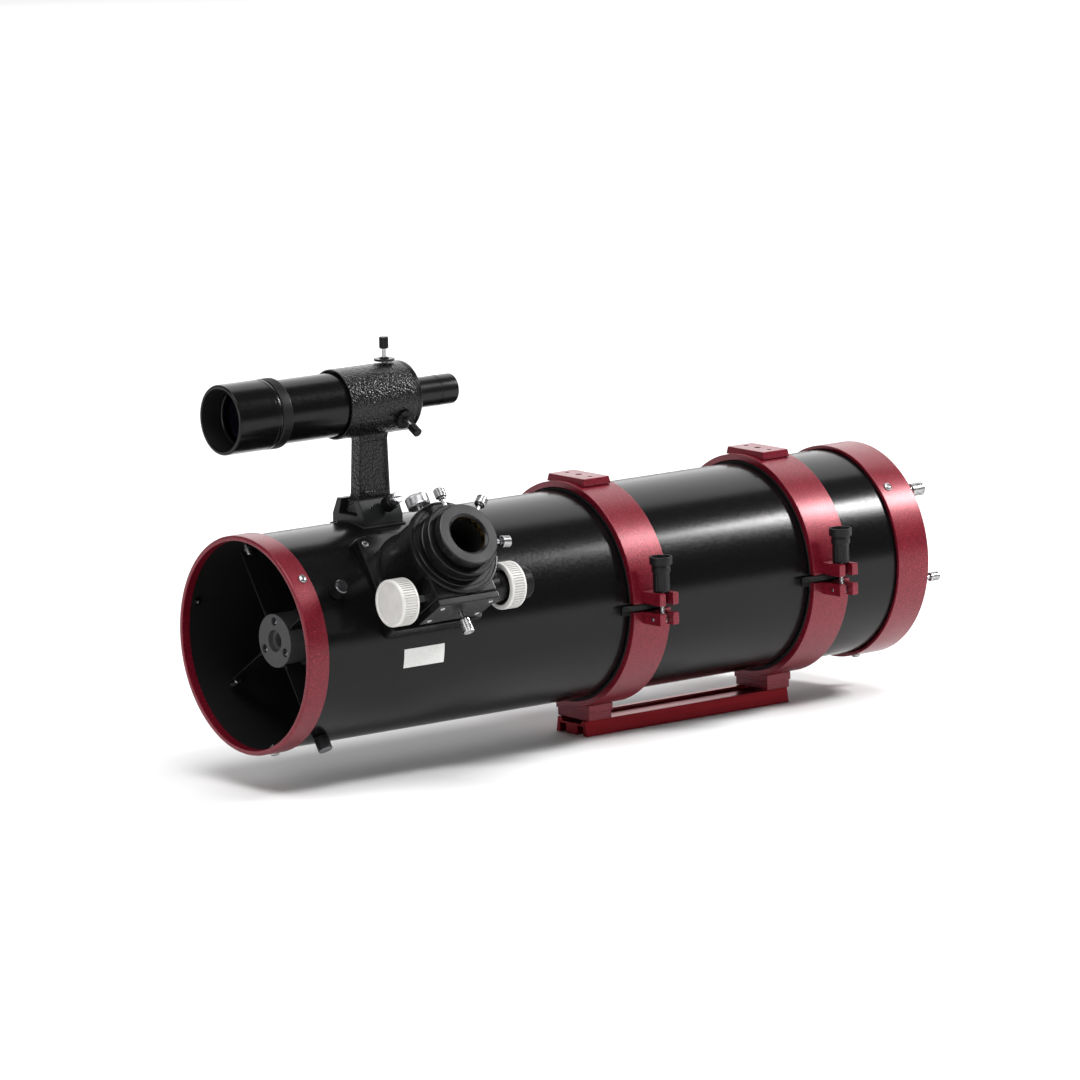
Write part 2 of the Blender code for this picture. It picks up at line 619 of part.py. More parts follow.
def ring_upper(name, axis):
    """Upper half, with its accessory pad, clamp fork and middle hinge knuckle."""
    ear_end = RING_R + EAR_REACH
    root = RING_R - RING_WALL / 2
    high = SPLIT_UPPER + EAR_HEIGHT
    pad_top = RING_R + PAD_RISE
    middle = KNUCKLE_MIDDLE_HALF
    half = ring_band(name, axis)
    join(half,
         block(name + "_ear", (-EAR_HALF, -ear_end, 0), (EAR_HALF, -root, high), axis),
         block(name + "_hinge_web", (-middle, root, 0), (middle, HINGE_Y, HINGE_WEB), axis),
         block(name + "_pad", (-PAD_HALF_X, -PAD_HALF_Y, root),
               (PAD_HALF_X, PAD_HALF_Y, pad_top), axis))
    cut(half, *split_cutters(name, axis, SPLIT_UPPER, HINGE_SPLIT, -1))
    join(half, rod(name + "_knuckle", KNUCKLE_R, -middle, middle, SMALL_STEPS,
                   axis, (0, HINGE_Y, 0), REARWARDS))
    cut(half, fork_slot(name + "_slot", axis, SPLIT_UPPER, high),
        cross_rod(name + "_hinge_bore", HINGE_PIN_R + THREAD_GAP, RING_WIDTH, HINGE_Y, 0, axis))
    for y, radius in ((0, PAD_HOLE_R), (PAD_SIDE_HOLE_Y, PAD_SIDE_HOLE_R),
                      (-PAD_SIDE_HOLE_Y, PAD_SIDE_HOLE_R)):
        cut(half, rod(name + "_pad_hole", radius, pad_top - PAD_HOLE_DEPTH, pad_top + OVERSHOOT,
                      SMALL_STEPS, axis, (0, y, 0)))
    return part(half, "crimson_powder_coat")


def ring_clamp(end, axis):
    """Swing bolt on its pin in the lower fork, and the hollow knob on the upper one."""
    part(cross_rod(f"clamp_pin_{end}", CLAMP_PIN_R, EAR_HALF, CLAMP_Y, CLAMP_PIN_Z, axis),
         "steel")
    bolt = rod(f"clamp_bolt_{end}", CLAMP_EYE_R, -FORK_HALF + GAP, FORK_HALF - GAP,
               MEDIUM_STEPS, axis, (0, CLAMP_Y, CLAMP_PIN_Z), REARWARDS)
    eye_middle = CLAMP_PIN_Z + (CLAMP_PIN_R + CLAMP_EYE_R) / 2
    join(bolt, rod(bolt.name + "_shank", CLAMP_BOLT_R, eye_middle,
                   KNOB_BASE_Z + CLAMP_BOLT_IN_KNOB, SMALL_STEPS, axis, (0, CLAMP_Y, 0)))
    cut(bolt, cross_rod(bolt.name + "_bore", CLAMP_PIN_R + THREAD_GAP, RING_WIDTH,
                        CLAMP_Y, CLAMP_PIN_Z, axis))
    part(bolt, "steel")
    bore = CLAMP_BOLT_R + CLAMP_BORE_ROOM
    bore_end = CLAMP_BOLT_IN_KNOB + CLAMP_BORE_END
    collar = KNOB_HEIGHT - KNOB_COLLAR_HEIGHT
    profile = [(bore, 0), (KNOB_R, 0), (KNOB_R, collar), (KNOB_COLLAR_R, collar + KNOB_COLLAR_FLARE),
               (KNOB_COLLAR_R, KNOB_HEIGHT), (KNOB_HOLLOW_R, KNOB_HEIGHT),
               (KNOB_HOLLOW_R, KNOB_HEIGHT - KNOB_HOLLOW_DEPTH),
               (0, KNOB_HEIGHT - KNOB_HOLLOW_DEPTH), (0, bore_end), (bore, bore_end)]
    knob = turned(f"clamp_knob_{end}", open_at_axis(profile), MEDIUM_STEPS,
                  axis, (0, CLAMP_Y, KNOB_BASE_Z))
    part(knob, "black_plastic")


def open_at_axis(profile):
    """Turn a closed outline that touches the axis into one that starts and ends on it."""
    on_axis = [i for i, (radius, _) in enumerate(profile) if radius == 0]
    start = on_axis[1] if on_axis[1] == on_axis[0] + 1 else on_axis[0]
    return profile[start:] + profile[:start]


def tube_rings():
    for end, x in zip(("front", "rear"), ring_places()):
        axis = frame(f"ring_axis_{end}", (x, 0, AXIS_Z))
        ring_lower(f"ring_lower_{end}", axis)
        ring_upper(f"ring_upper_{end}", axis)
        part(cross_rod(f"hinge_pin_{end}", HINGE_PIN_R, KNUCKLE_OUTER, HINGE_Y, 0, axis), "steel")
        ring_clamp(end, axis)


# ---------------------------------------------------------------- tube and end rings

def optical_tube(axis, focuser):
    front = FRONT_RING_FACE + GAP
    rear = REAR_END - REAR_FLANGE - GAP
    profile = [(TUBE_R, rear), (TUBE_R, front), (TUBE_BORE_R, front), (TUBE_BORE_R, rear)]
    tube = turned("tube", profile, TUBE_STEPS, axis, (0, 0, 0), REARWARDS)
    cut(tube, rod("focuser_opening", HOUSING_BORE_R, 0, 2 * TUBE_R, LARGE_STEPS, focuser))
    for angle in vane_angles():
        cut(tube, rod("vane_screw_hole", VANE_SCREW_R + THREAD_GAP, TUBE_R / 2, 2 * TUBE_R,
                      SMALL_STEPS, axis, (VANE_X, 0, 0), around(1, angle)))
    part(tube, "gloss_black")


def front_ring(axis):
    """Cap ring: a channel over the tube's edge, with a lip inside the tube."""
    outer = TUBE_R + GAP + FRONT_RING_WALL
    lip_outer = TUBE_BORE_R - GAP
    lip_bore = lip_outer - FRONT_LIP_WALL
    groove = FRONT_RING_FACE
    profile = [(outer, FRONT_RING_WIDTH), (outer, FRONT_RING_EDGE), (outer - FRONT_RING_EDGE, 0),
               (lip_bore, 0), (lip_bore, FRONT_LIP_DEPTH), (lip_outer, FRONT_LIP_DEPTH),
               (lip_outer, groove), (TUBE_R + GAP, groove), (TUBE_R + GAP, FRONT_RING_WIDTH)]
    part(turned("front_ring", profile, TUBE_STEPS, axis, (0, 0, 0), REARWARDS),
         "crimson_powder_coat")


def rear_ring(axis):
    """Band over the tube's end, with an inward flange that carries the mirror's screws."""
    outer = TUBE_R + GAP + REAR_RING_WALL
    band_front = REAR_END - REAR_RING_WIDTH
    flange = REAR_END - REAR_FLANGE
    profile = [(outer, REAR_END), (outer, band_front), (TUBE_R + GAP, band_front),
               (TUBE_R + GAP, flange), (REAR_OPENING_R, flange), (REAR_OPENING_R, REAR_END)]
    ring = turned("rear_ring", profile, TUBE_STEPS, axis, (0, 0, 0), REARWARDS)
    for start, radius in ((COLLIMATION_START, COLLIMATION_SHANK_R), (LOCK_START, LOCK_SHANK_R)):
        for angle in three_angles(start):
            cut(ring, rod("flange_hole", radius + THREAD_GAP, flange - OVERSHOOT, REAR_END + OVERSHOOT,
                          SMALL_STEPS, axis, around(COLLIMATION_CIRCLE, angle), REARWARDS))
    part(ring, "crimson_powder_coat")


# ---------------------------------------------------------------- primary mirror

def primary_mirror(axis):
    """Concave paraboloid, whose middle is deeper by radius squared over four focal lengths."""
    front = MIRROR_BACK_X - MIRROR_EDGE
    points = 5
    bowl = []
    for i in range(points):
        radius = MIRROR_R * i / (points - 1)
        bowl.append((radius, front + (MIRROR_R ** 2 - radius ** 2) / (4 * FOCAL_LENGTH)))
    profile = bowl + [(MIRROR_R, MIRROR_BACK_X), (0, MIRROR_BACK_X)]
    part(turned("primary_mirror", profile, LARGE_STEPS, axis, (0, 0, 0), REARWARDS),
         "mirror_glass")


def mirror_cell(axis):
    """Cup that holds the mirror, with three clips over its edge and vents in its floor."""
    rim_bore = MIRROR_R + GAP
    rim = rim_bore + CELL_RIM_WALL
    rim_front = CELL_FRONT_X - CELL_RIM_HEIGHT
    profile = [(rim, rim_front), (rim, CELL_FRONT_X), (CELL_PLATE_R, CELL_FRONT_X),
               (CELL_PLATE_R, CELL_BACK_X), (CELL_HUB_HOLE_R, CELL_BACK_X),
               (CELL_HUB_HOLE_R, CELL_FRONT_X), (rim_bore, CELL_FRONT_X), (rim_bore, rim_front)]
    cell = turned("mirror_cell", profile, LARGE_STEPS, axis, (0, 0, 0), REARWARDS)
    mirror_front = MIRROR_BACK_X - MIRROR_EDGE
    post_bore = rim_bore + CLIP_POST_IN
    for i, angle in enumerate(three_angles(LOCK_START)):
        outward = around(1, angle)
        clip = block(f"mirror_clip_{i + 1}", (-CLIP_HALF, MIRROR_R - CLIP_REACH,
                                              mirror_front - GAP - CLIP_WALL),
                     (CLIP_HALF, rim, rim_front + CELL_RIM_WALL), axis, (0, 0, 0), REARWARDS,
                     outward.cross(REARWARDS))
        cut(clip, rod(clip.name + "_seat", post_bore, mirror_front - GAP, CELL_BACK_X,
                      LARGE_STEPS, axis, (0, 0, 0), REARWARDS))
        join(cell, clip)
    for angle in three_angles(LOCK_START + 60):
        cut(cell, rod("cell_vent", CELL_VENT_R, CELL_FRONT_X - OVERSHOOT, CELL_BACK_X + OVERSHOOT,
                      MEDIUM_STEPS, axis, around(CELL_VENT_CIRCLE, angle), REARWARDS))
    for angle in three_angles(COLLIMATION_START):
        cut(cell, rod("collimation_socket", COLLIMATION_SHANK_R + COLLIMATION_SOCKET_ROOM,
                      CELL_BACK_X - COLLIMATION_SOCKET_DEPTH, CELL_BACK_X + OVERSHOOT,
                      SMALL_STEPS, axis, around(COLLIMATION_CIRCLE, angle), REARWARDS))
    part(cell, "matt_black")


def collimation_screws(axis):
    """Three knobs that tilt the cell and three thinner screws that lock it."""
    tip = CELL_BACK_X - COLLIMATION_SOCKET_DEPTH + COLLIMATION_TIP_GAP
    washer = REAR_END + GAP
    neck = washer + COLLIMATION_WASHER
    head = neck + COLLIMATION_NECK
    profile = [(0, tip), (COLLIMATION_SHANK_R, tip), (COLLIMATION_SHANK_R, washer),
               (COLLIMATION_WASHER_R, washer), (COLLIMATION_WASHER_R, neck),
               (COLLIMATION_NECK_R, neck), (COLLIMATION_NECK_R, head), (COLLIMATION_HEAD_R, head),
               (COLLIMATION_HEAD_R, head + COLLIMATION_HEAD), (0, head + COLLIMATION_HEAD)]
    for i, angle in enumerate(three_angles(COLLIMATION_START)):
        part(turned(f"collimation_knob_{i + 1}", profile, SMALL_STEPS, axis,
                    around(COLLIMATION_CIRCLE, angle), REARWARDS), "chrome")
    tip = CELL_BACK_X + LOCK_TIP_GAP
    head = REAR_END + LOCK_NECK
    profile = [(0, tip), (LOCK_SHANK_R, tip), (LOCK_SHANK_R, head), (LOCK_HEAD_R, head),
               (LOCK_HEAD_R, head + LOCK_HEAD), (0, head + LOCK_HEAD)]
    for i, angle in enumerate(three_angles(LOCK_START)):
        part(turned(f"cell_lock_screw_{i + 1}", profile, SMALL_STEPS, axis,
                    around(COLLIMATION_CIRCLE, angle), REARWARDS), "chrome")


# ---------------------------------------------------------------- spider and secondary

def vane_angles():
    return [VANE_START + 90.0 * i for i in range(4)]


def spider(axis):
    """Hub on four thin vanes, each with a threaded boss for its tension knob."""
    back = SPIDER_X + HUB_LENGTH
    mouth = SPIDER_X + HUB_MOUTH_DEPTH
    web = SPIDER_X + HUB_BORE_DEPTH
    bolt_hole = CENTRE_BOLT_R + THREAD_GAP
    profile = [(HUB_R, SPIDER_X), (HUB_R, back), (bolt_hole, back), (bolt_hole, web),
               (HUB_BORE_R, web), (HUB_BORE_R, mouth), (HUB_MOUTH_R, mouth),
               (HUB_MOUTH_R, SPIDER_X)]
    hub = turned("spider", profile, MEDIUM_STEPS, axis, (0, 0, 0), REARWARDS)
    boss_end = TUBE_BORE_R - VANE_END_GAP
    for angle in vane_angles():
        outward = around(1, angle)
        where = (axis, (VANE_X, 0, 0), outward, REARWARDS)
        join(hub,
             block("vane", (-VANE_WIDTH / 2, -VANE_THICKNESS / 2, HUB_R - VANE_IN_HUB),
                   (VANE_WIDTH / 2, VANE_THICKNESS / 2, boss_end - VANE_BOSS_LENGTH / 2), *where),
             rod("vane_boss", VANE_BOSS_R, boss_end - VANE_BOSS_LENGTH, boss_end,
                 SMALL_STEPS, *where))
    for angle in three_angles(90):
        spot = around(TILT_SCREW_CIRCLE, angle)
        cut(hub, rod("tilt_screw_hole", TILT_SCREW_R + THREAD_GAP, SPIDER_X - OVERSHOOT,
                     back + OVERSHOOT, SMALL_STEPS, axis, spot, REARWARDS),
            rod("tilt_screw_recess", TILT_SCREW_HEAD_R + GAP, SPIDER_X - OVERSHOOT,
                SPIDER_X + TILT_SCREW_RECESS, SMALL_STEPS, axis, spot, REARWARDS))
    part(hub, "matt_black")


def spider_knobs(axis):
    """Tension knobs outside the tube: tall on the focuser's side, low on the far side."""
    tip = TUBE_BORE_R - VANE_END_GAP + GAP
    head = TUBE_R + GAP
    for i, angle in enumerate(vane_angles()):
        length = VANE_KNOB_LENGTH if cos(radians(angle)) > 0 else VANE_LOW_KNOB_LENGTH
        profile = [(0, tip), (VANE_SCREW_R, tip), (VANE_SCREW_R, head), (VANE_KNOB_R, head),
                   (VANE_KNOB_R, head + length), (0, head + length)]
        part(turned(f"spider_knob_{i + 1}", profile, SMALL_STEPS, axis, (VANE_X, 0, 0),
                    around(1, angle)), "black_plastic")


def slanted_rod(name, radius, low, high, low_slope, high_slope, steps, parent, location):
    """Cylinder along X whose ends lean at 45 degrees where a slope of 1 says so."""
    form = bmesh.new()
    bmesh.ops.create_cone(form, cap_ends=True, segments=steps,
                          radius1=radius, radius2=radius, depth=1.0)
    bmesh.ops.rotate(form, matrix=Matrix.Rotation(pi / 2, 3, "Y"), verts=form.verts)
    for vert in form.verts:
        at_low = vert.co.x < 0
        slope = low_slope if at_low else high_slope
        vert.co.x = (low if at_low else high) - slope * vert.co.z
    bmesh.ops.recalc_face_normals(form, faces=form.faces)
    return mesh_object(name, form, parent, location)


def secondary(axis, focuser):
    """Flat elliptical mirror at 45 degrees on its holder, hung from the hub's bolt."""
    bolt_seat = SPIDER_X + HUB_BORE_DEPTH - GAP
    bolt_top = bolt_seat - CENTRE_BOLT_HEAD
    bolt_tip = HOLDER_X + HOLDER_BORE_DEPTH - CENTRE_BOLT_TIP_GAP
    profile = [(0, bolt_top), (CENTRE_BOLT_HEAD_R, bolt_top), (CENTRE_BOLT_HEAD_R, bolt_seat),
               (CENTRE_BOLT_R, bolt_seat), (CENTRE_BOLT_R, bolt_tip), (0, bolt_tip)]
    part(turned("secondary_bolt", profile, SMALL_STEPS, axis, (0, 0, 0), REARWARDS), "steel")
    holder_end = -SECONDARY_THICKNESS - SECONDARY_GLUE
    holder = slanted_rod("secondary_holder", HOLDER_R, HOLDER_X - FOCUSER_X, holder_end, 0, 1,
                         MEDIUM_STEPS, focuser, (0, 0, 0))
    cut(holder, rod("holder_bore", CENTRE_BOLT_R + 2 * THREAD_GAP, HOLDER_X - OVERSHOOT,
                    HOLDER_X + HOLDER_BORE_DEPTH, SMALL_STEPS, axis, (0, 0, 0), REARWARDS))
    part(holder, "matt_black")
    part(slanted_rod("secondary_mirror", SECONDARY_R, -SECONDARY_THICKNESS, 0, 1, 1,
                     LARGE_STEPS, focuser, (0, 0, 0)), "mirror_glass")
    head = SPIDER_X + TILT_SCREW_RECESS - GAP
    tip = HOLDER_X - TILT_SCREW_TIP_GAP
    profile = [(0, head - TILT_SCREW_HEAD), (TILT_SCREW_HEAD_R, head - TILT_SCREW_HEAD),
               (TILT_SCREW_HEAD_R, head), (TILT_SCREW_R, head), (TILT_SCREW_R, tip), (0, tip)]
    for i, angle in enumerate(three_angles(90)):
        part(turned(f"secondary_screw_{i + 1}", profile, SMALL_STEPS, axis,
                    around(TILT_SCREW_CIRCLE, angle), REARWARDS), "steel")


# ---------------------------------------------------------------- focuser

def across_x(name, radius, low, high, steps, focuser):
    """Cylinder on the drive axle's axis."""
    return rod(name, radius, low, high, steps, focuser, (0, AXLE_Y, AXLE_Z), REARWARDS)


def focuser_base(focuser):
    """Saddle and housing in one casting, open below for the roller block."""
    saddle_top = TUBE_R + SADDLE_TOP
    saddle_low = TUBE_R - SADDLE_SKIRT
    half_x = HOUSING_R + SADDLE_EDGE_X
    half_y = HOUSING_R + SADDLE_EDGE_Y
    saddle = block("focuser_base", (-half_x, -half_y, saddle_low), (half_x, half_y, saddle_top),
                   focuser)
    flange = HOUSING_END - HOUSING_FLANGE
    boss_top = AXLE_Z + BLOCK_COVER_HALF_Z
    boss_low = AXLE_Z - BLOCK_COVER_HALF_Z
    join(saddle,
         rod("housing", HOUSING_R, saddle_low, flange + HOUSING_FLANGE / 2, LARGE_STEPS, focuser),
         rod("housing_flange", HOUSING_FLANGE_R, flange, HOUSING_END, LARGE_STEPS, focuser),
         block("block_boss", (-BLOCK_COVER_FRONT, -BOSS_DEPTH, boss_low),
               (BLOCK_COVER_REAR, 0, boss_top), focuser))
    pocket_x = BLOCK_HALF_X + GAP
    pocket_z = BLOCK_HALF_Z + GAP
    cut(saddle,
        rod("saddle_seat", TUBE_R + GAP, -2 * half_x, 2 * half_x, TUBE_STEPS,
            focuser, (0, 0, 0), REARWARDS),
        rod("housing_bore", HOUSING_BORE_R, 0, 2 * HOUSING_END, LARGE_STEPS, focuser),
        block("block_pocket", (-pocket_x, -BOSS_DEPTH - OVERSHOOT, AXLE_Z - pocket_z),
              (pocket_x, -DRAWTUBE_R / 2, AXLE_Z + pocket_z), focuser),
        across_x("axle_hole", AXLE_R + THREAD_GAP, -HOUSING_FLANGE_R, 0, SMALL_STEPS, focuser),
        across_x("neck_hole", NECK_R + GAP, 0, HOUSING_FLANGE_R, MEDIUM_STEPS, focuser),
        across_x("sleeve_room", SLEEVE_R + GAP, SLEEVE_START - GAP, 2 * SLEEVE_END,
                 MEDIUM_STEPS, focuser),
        rod("lock_knob_hole", LOCK_KNOB_STEM_R + THREAD_GAP, 0, 2 * HOUSING_R, SMALL_STEPS,
            focuser, (0, 0, PRESS_Z), (0, 1, 0)))
    part(saddle, "satin_black")


def roller_block(focuser):
    """Block under the housing that presses the drive axle on the drawtube."""
    top = -(DRAWTUBE_R + BLOCK_DRAWTUBE_GAP)
    cover_top = -BOSS_DEPTH - GAP
    body = block("roller_block", (-BLOCK_COVER_FRONT, cover_top - BLOCK_COVER,
                                  AXLE_Z - BLOCK_COVER_HALF_Z),
                 (BLOCK_COVER_REAR, cover_top, AXLE_Z + BLOCK_COVER_HALF_Z), focuser)
    join(body,
         block("block_body", (-BLOCK_HALF_X, cover_top - BLOCK_COVER / 2, AXLE_Z - BLOCK_HALF_Z),
               (BLOCK_HALF_X, top, AXLE_Z + BLOCK_HALF_Z), focuser),
         across_x("block_neck", NECK_R, BLOCK_HALF_X / 2, (SLEEVE_START + SLEEVE_END) / 2,
                  MEDIUM_STEPS, focuser),
         across_x("block_sleeve", SLEEVE_R, SLEEVE_START, SLEEVE_END, MEDIUM_STEPS, focuser))
    cut(body,
        rod("block_relief", HOUSING_BORE_R, 0, 2 * HOUSING_END, LARGE_STEPS, focuser),
        across_x("block_bore", AXLE_R + THREAD_GAP, -HOUSING_FLANGE_R, 2 * SLEEVE_END,
                 SMALL_STEPS, focuser),
        rod("tension_hole", THUMB_STEM_R + THREAD_GAP, BOSS_DEPTH, 2 * BOSS_DEPTH, SMALL_STEPS,
            focuser, (0, 0, PRESS_Z), (0, -1, 0)))
    part(body, "satin_black")


def focus_drive(focuser):
    """Axle with its two large knobs, and the small knob of the slow drive."""
    left = -COARSE_LEFT_START
    left_end = left - COARSE_LEFT_WIDTH
    right = COARSE_RIGHT_START
    right_end = right + COARSE_RIGHT_WIDTH
    floor = right + COARSE_HOLLOW
    hole = AXLE_R + THREAD_GAP
    edge = DRIVE_KNOB_EDGE
    axle_end = right_end - FINE_STUB - 2 * GAP
    axle_start = left - AXLE_IN_KNOB
    part(across_x("focus_axle", AXLE_R, axle_start, axle_end, SMALL_STEPS, focuser), "steel")
    place_on_axle = (focuser, (0, AXLE_Y, AXLE_Z), REARWARDS)
    profile = [(0, left_end), (COARSE_R - edge, left_end), (COARSE_R, left_end + edge),
               (COARSE_R, left), (hole, left), (hole, axle_start - GAP), (0, axle_start - GAP)]
    part(turned("coarse_knob_left", profile, LARGE_STEPS, *place_on_axle), "white_satin")
    profile = [(hole, right_end), (COARSE_R - edge, right_end), (COARSE_R, right_end - edge),
               (COARSE_R, right), (COARSE_HOLLOW_R, right), (COARSE_HOLLOW_R, floor), (hole, floor)]
    part(turned("coarse_knob_right", profile, LARGE_STEPS, *place_on_axle), "white_satin")
    fine = right_end + GAP
    fine_end = fine + FINE_WIDTH
    stub = fine - FINE_STUB
    profile = [(0, stub), (FINE_STUB_R, stub), (FINE_STUB_R, fine), (FINE_R, fine),
               (FINE_R, fine_end - edge), (FINE_R - edge, fine_end), (0, fine_end)]
    part(turned("fine_knob", profile, MEDIUM_STEPS, *place_on_axle), "black_plastic")


def press_screws(focuser):
    """Large knob that locks the drawtube, and the screw that sets the roller's pressure."""
    tip = DRAWTUBE_R + GAP
    neck = HOUSING_R + LOCK_KNOB_NECK
    profile = [(0, tip), (LOCK_KNOB_STEM_R, tip), (LOCK_KNOB_STEM_R, neck), (LOCK_KNOB_R, neck),
               (LOCK_KNOB_R, neck + LOCK_KNOB_WIDTH), (0, neck + LOCK_KNOB_WIDTH)]
    part(turned("focus_lock_knob", profile, MEDIUM_STEPS, focuser, (0, 0, PRESS_Z), (0, 1, 0)),
         "chrome")
    cover = BOSS_DEPTH + GAP + BLOCK_COVER
    tip = cover - TENSION_IN_BLOCK
    head = cover + TENSION_STEM
    profile = [(0, tip), (THUMB_STEM_R, tip), (THUMB_STEM_R, head), (TENSION_HEAD_R, head),
               (TENSION_HEAD_R, head + TENSION_HEAD), (0, head + TENSION_HEAD)]
    part(turned("focus_tension_screw", profile, SMALL_STEPS, focuser, (0, 0, PRESS_Z), (0, -1, 0)),
         "chrome")


def thumbscrew(name, focuser, height, degrees, tip, surface):
    """Knurled screw pointing at the focuser's axis, degrees round from +X."""
    head = surface + THUMB_NECK
    profile = [(0, tip), (THUMB_STEM_R, tip), (THUMB_STEM_R, head), (THUMB_HEAD_R, head),
               (THUMB_HEAD_R, head + THUMB_HEAD), (0, head + THUMB_HEAD)]
    outward = (cos(radians(degrees)), sin(radians(degrees)), 0)
    part(turned(name, profile, SMALL_STEPS, focuser, (0, 0, height), outward), "chrome")


def thumbscrew_hole(name, focuser, height, degrees):
    outward = (cos(radians(degrees)), sin(radians(degrees)), 0)
    return rod(name, THUMB_STEM_R + THREAD_GAP, 0, 2 * COLLAR_R, SMALL_STEPS,
               focuser, (0, 0, height), outward)


def drawtube(focuser):
    """Tube that slides in the housing, with a collar that clamps what is put in it."""
    low = TUBE_R - DRAWTUBE_INSIDE
    profile = [(DRAWTUBE_R, low), (DRAWTUBE_R, COLLAR_START), (COLLAR_R, COLLAR_START),
               (COLLAR_R, COLLAR_END - COLLAR_CHAMFER), (COLLAR_R - COLLAR_CHAMFER, COLLAR_END),
               (DRAWTUBE_BORE_R, COLLAR_END), (DRAWTUBE_BORE_R, low)]
    tube = turned("drawtube", profile, LARGE_STEPS, focuser)
    height = HOUSING_END + COLLAR_SCREW_HEIGHT
    for i, degrees in enumerate(COLLAR_SCREW_ANGLES):
        cut(tube, thumbscrew_hole(f"collar_hole_{i + 1}", focuser, height, degrees))
        thumbscrew(f"drawtube_screw_{i + 1}", focuser, height, degrees,
                   DRAWTUBE_BORE_R + GAP, COLLAR_R)
    part(tube, "satin_black")


def eyepiece_adapter(focuser):
    """Reducer in the drawtube's collar, with the bore that eyepieces fit."""
    barrel = DRAWTUBE_BORE_R - GAP
    neck = ADAPTER_START + ADAPTER_NECK
    neck_r = ADAPTER_R - ADAPTER_NECK_IN
    barrel_end = ADAPTER_START - ADAPTER_BARREL
    profile = [(barrel, barrel_end), (barrel, ADAPTER_START), (neck_r, ADAPTER_START),
               (neck_r, neck), (ADAPTER_R, neck + ADAPTER_CHAMFER), (ADAPTER_R, ADAPTER_END),
               (ADAPTER_BORE_R, ADAPTER_END), (ADAPTER_BORE_R, barrel_end)]
    adapter = turned("eyepiece_adapter", profile, LARGE_STEPS, focuser)
    height = ADAPTER_END - ADAPTER_SCREW_HEIGHT
    cut(adapter, thumbscrew_hole("adapter_hole", focuser, height, ADAPTER_SCREW_ANGLE))
    thumbscrew("adapter_screw", focuser, height, ADAPTER_SCREW_ANGLE, ADAPTER_BORE_R + GAP,
               ADAPTER_R)
    part(adapter, "satin_black")


# ---------------------------------------------------------------- finder

def finder_shoe(axis):
    """Dovetail shoe on the tube, open at both ends, with its clamp screw's hole."""
    crown = TUBE_R
    half = [(SHOE_HALF, crown - SHOE_SKIRT), (SHOE_HALF, crown + SHOE_SIDE),
            (SHOE_TOP_HALF, crown + SHOE_TOP), (CHANNEL_MOUTH_HALF, crown + SHOE_TOP),
            (CHANNEL_FLOOR_HALF, crown + CHANNEL_FLOOR)]
    outline = half + [(-y, z) for y, z in reversed(half)]
    shoe = prism("finder_shoe", outline, SHOE_FRONT, SHOE_FRONT + SHOE_LENGTH, axis)
    cut(shoe, rod("shoe_seat", TUBE_R + GAP, 0, REAR_END, TUBE_STEPS, axis, (0, 0, 0), REARWARDS),
        rod("shoe_screw_hole", SHOE_SCREW_STEM_R + THREAD_GAP, -SHOE_SCREW_IN - SHOE_SCREW_HOLE_PAST,
            SHOE_HALF, SMALL_STEPS, axis, *shoe_screw_place()))
    part(shoe, "satin_black")


def shoe_screw_place():
    return ((SHOE_SCREW_X, SHOE_SCREW_Y, TUBE_R + SHOE_SCREW_Z), around(1, SHOE_SCREW_SLOPE))


def shoe_screw(axis):
    body = SHOE_SCREW_BODY_START
    head = body + SHOE_SCREW_BODY
    profile = [(0, -SHOE_SCREW_IN), (SHOE_SCREW_STEM_R, -SHOE_SCREW_IN), (SHOE_SCREW_STEM_R, body),
               (SHOE_SCREW_BODY_R, body), (SHOE_SCREW_BODY_R, head), (SHOE_SCREW_HEAD_R, head),
               (SHOE_SCREW_HEAD_R, head + SHOE_SCREW_HEAD), (0, head + SHOE_SCREW_HEAD)]
    part(turned("shoe_screw", profile, SMALL_STEPS, axis, *shoe_screw_place()), "black_plastic")


def channel_half(above_crown):
    """Half width of the shoe's channel at a height above the tube's crown."""
    share = (above_crown - CHANNEL_FLOOR) / (SHOE_TOP - CHANNEL_FLOOR)
    return CHANNEL_FLOOR_HALF + share * (CHANNEL_MOUTH_HALF - CHANNEL_FLOOR_HALF)


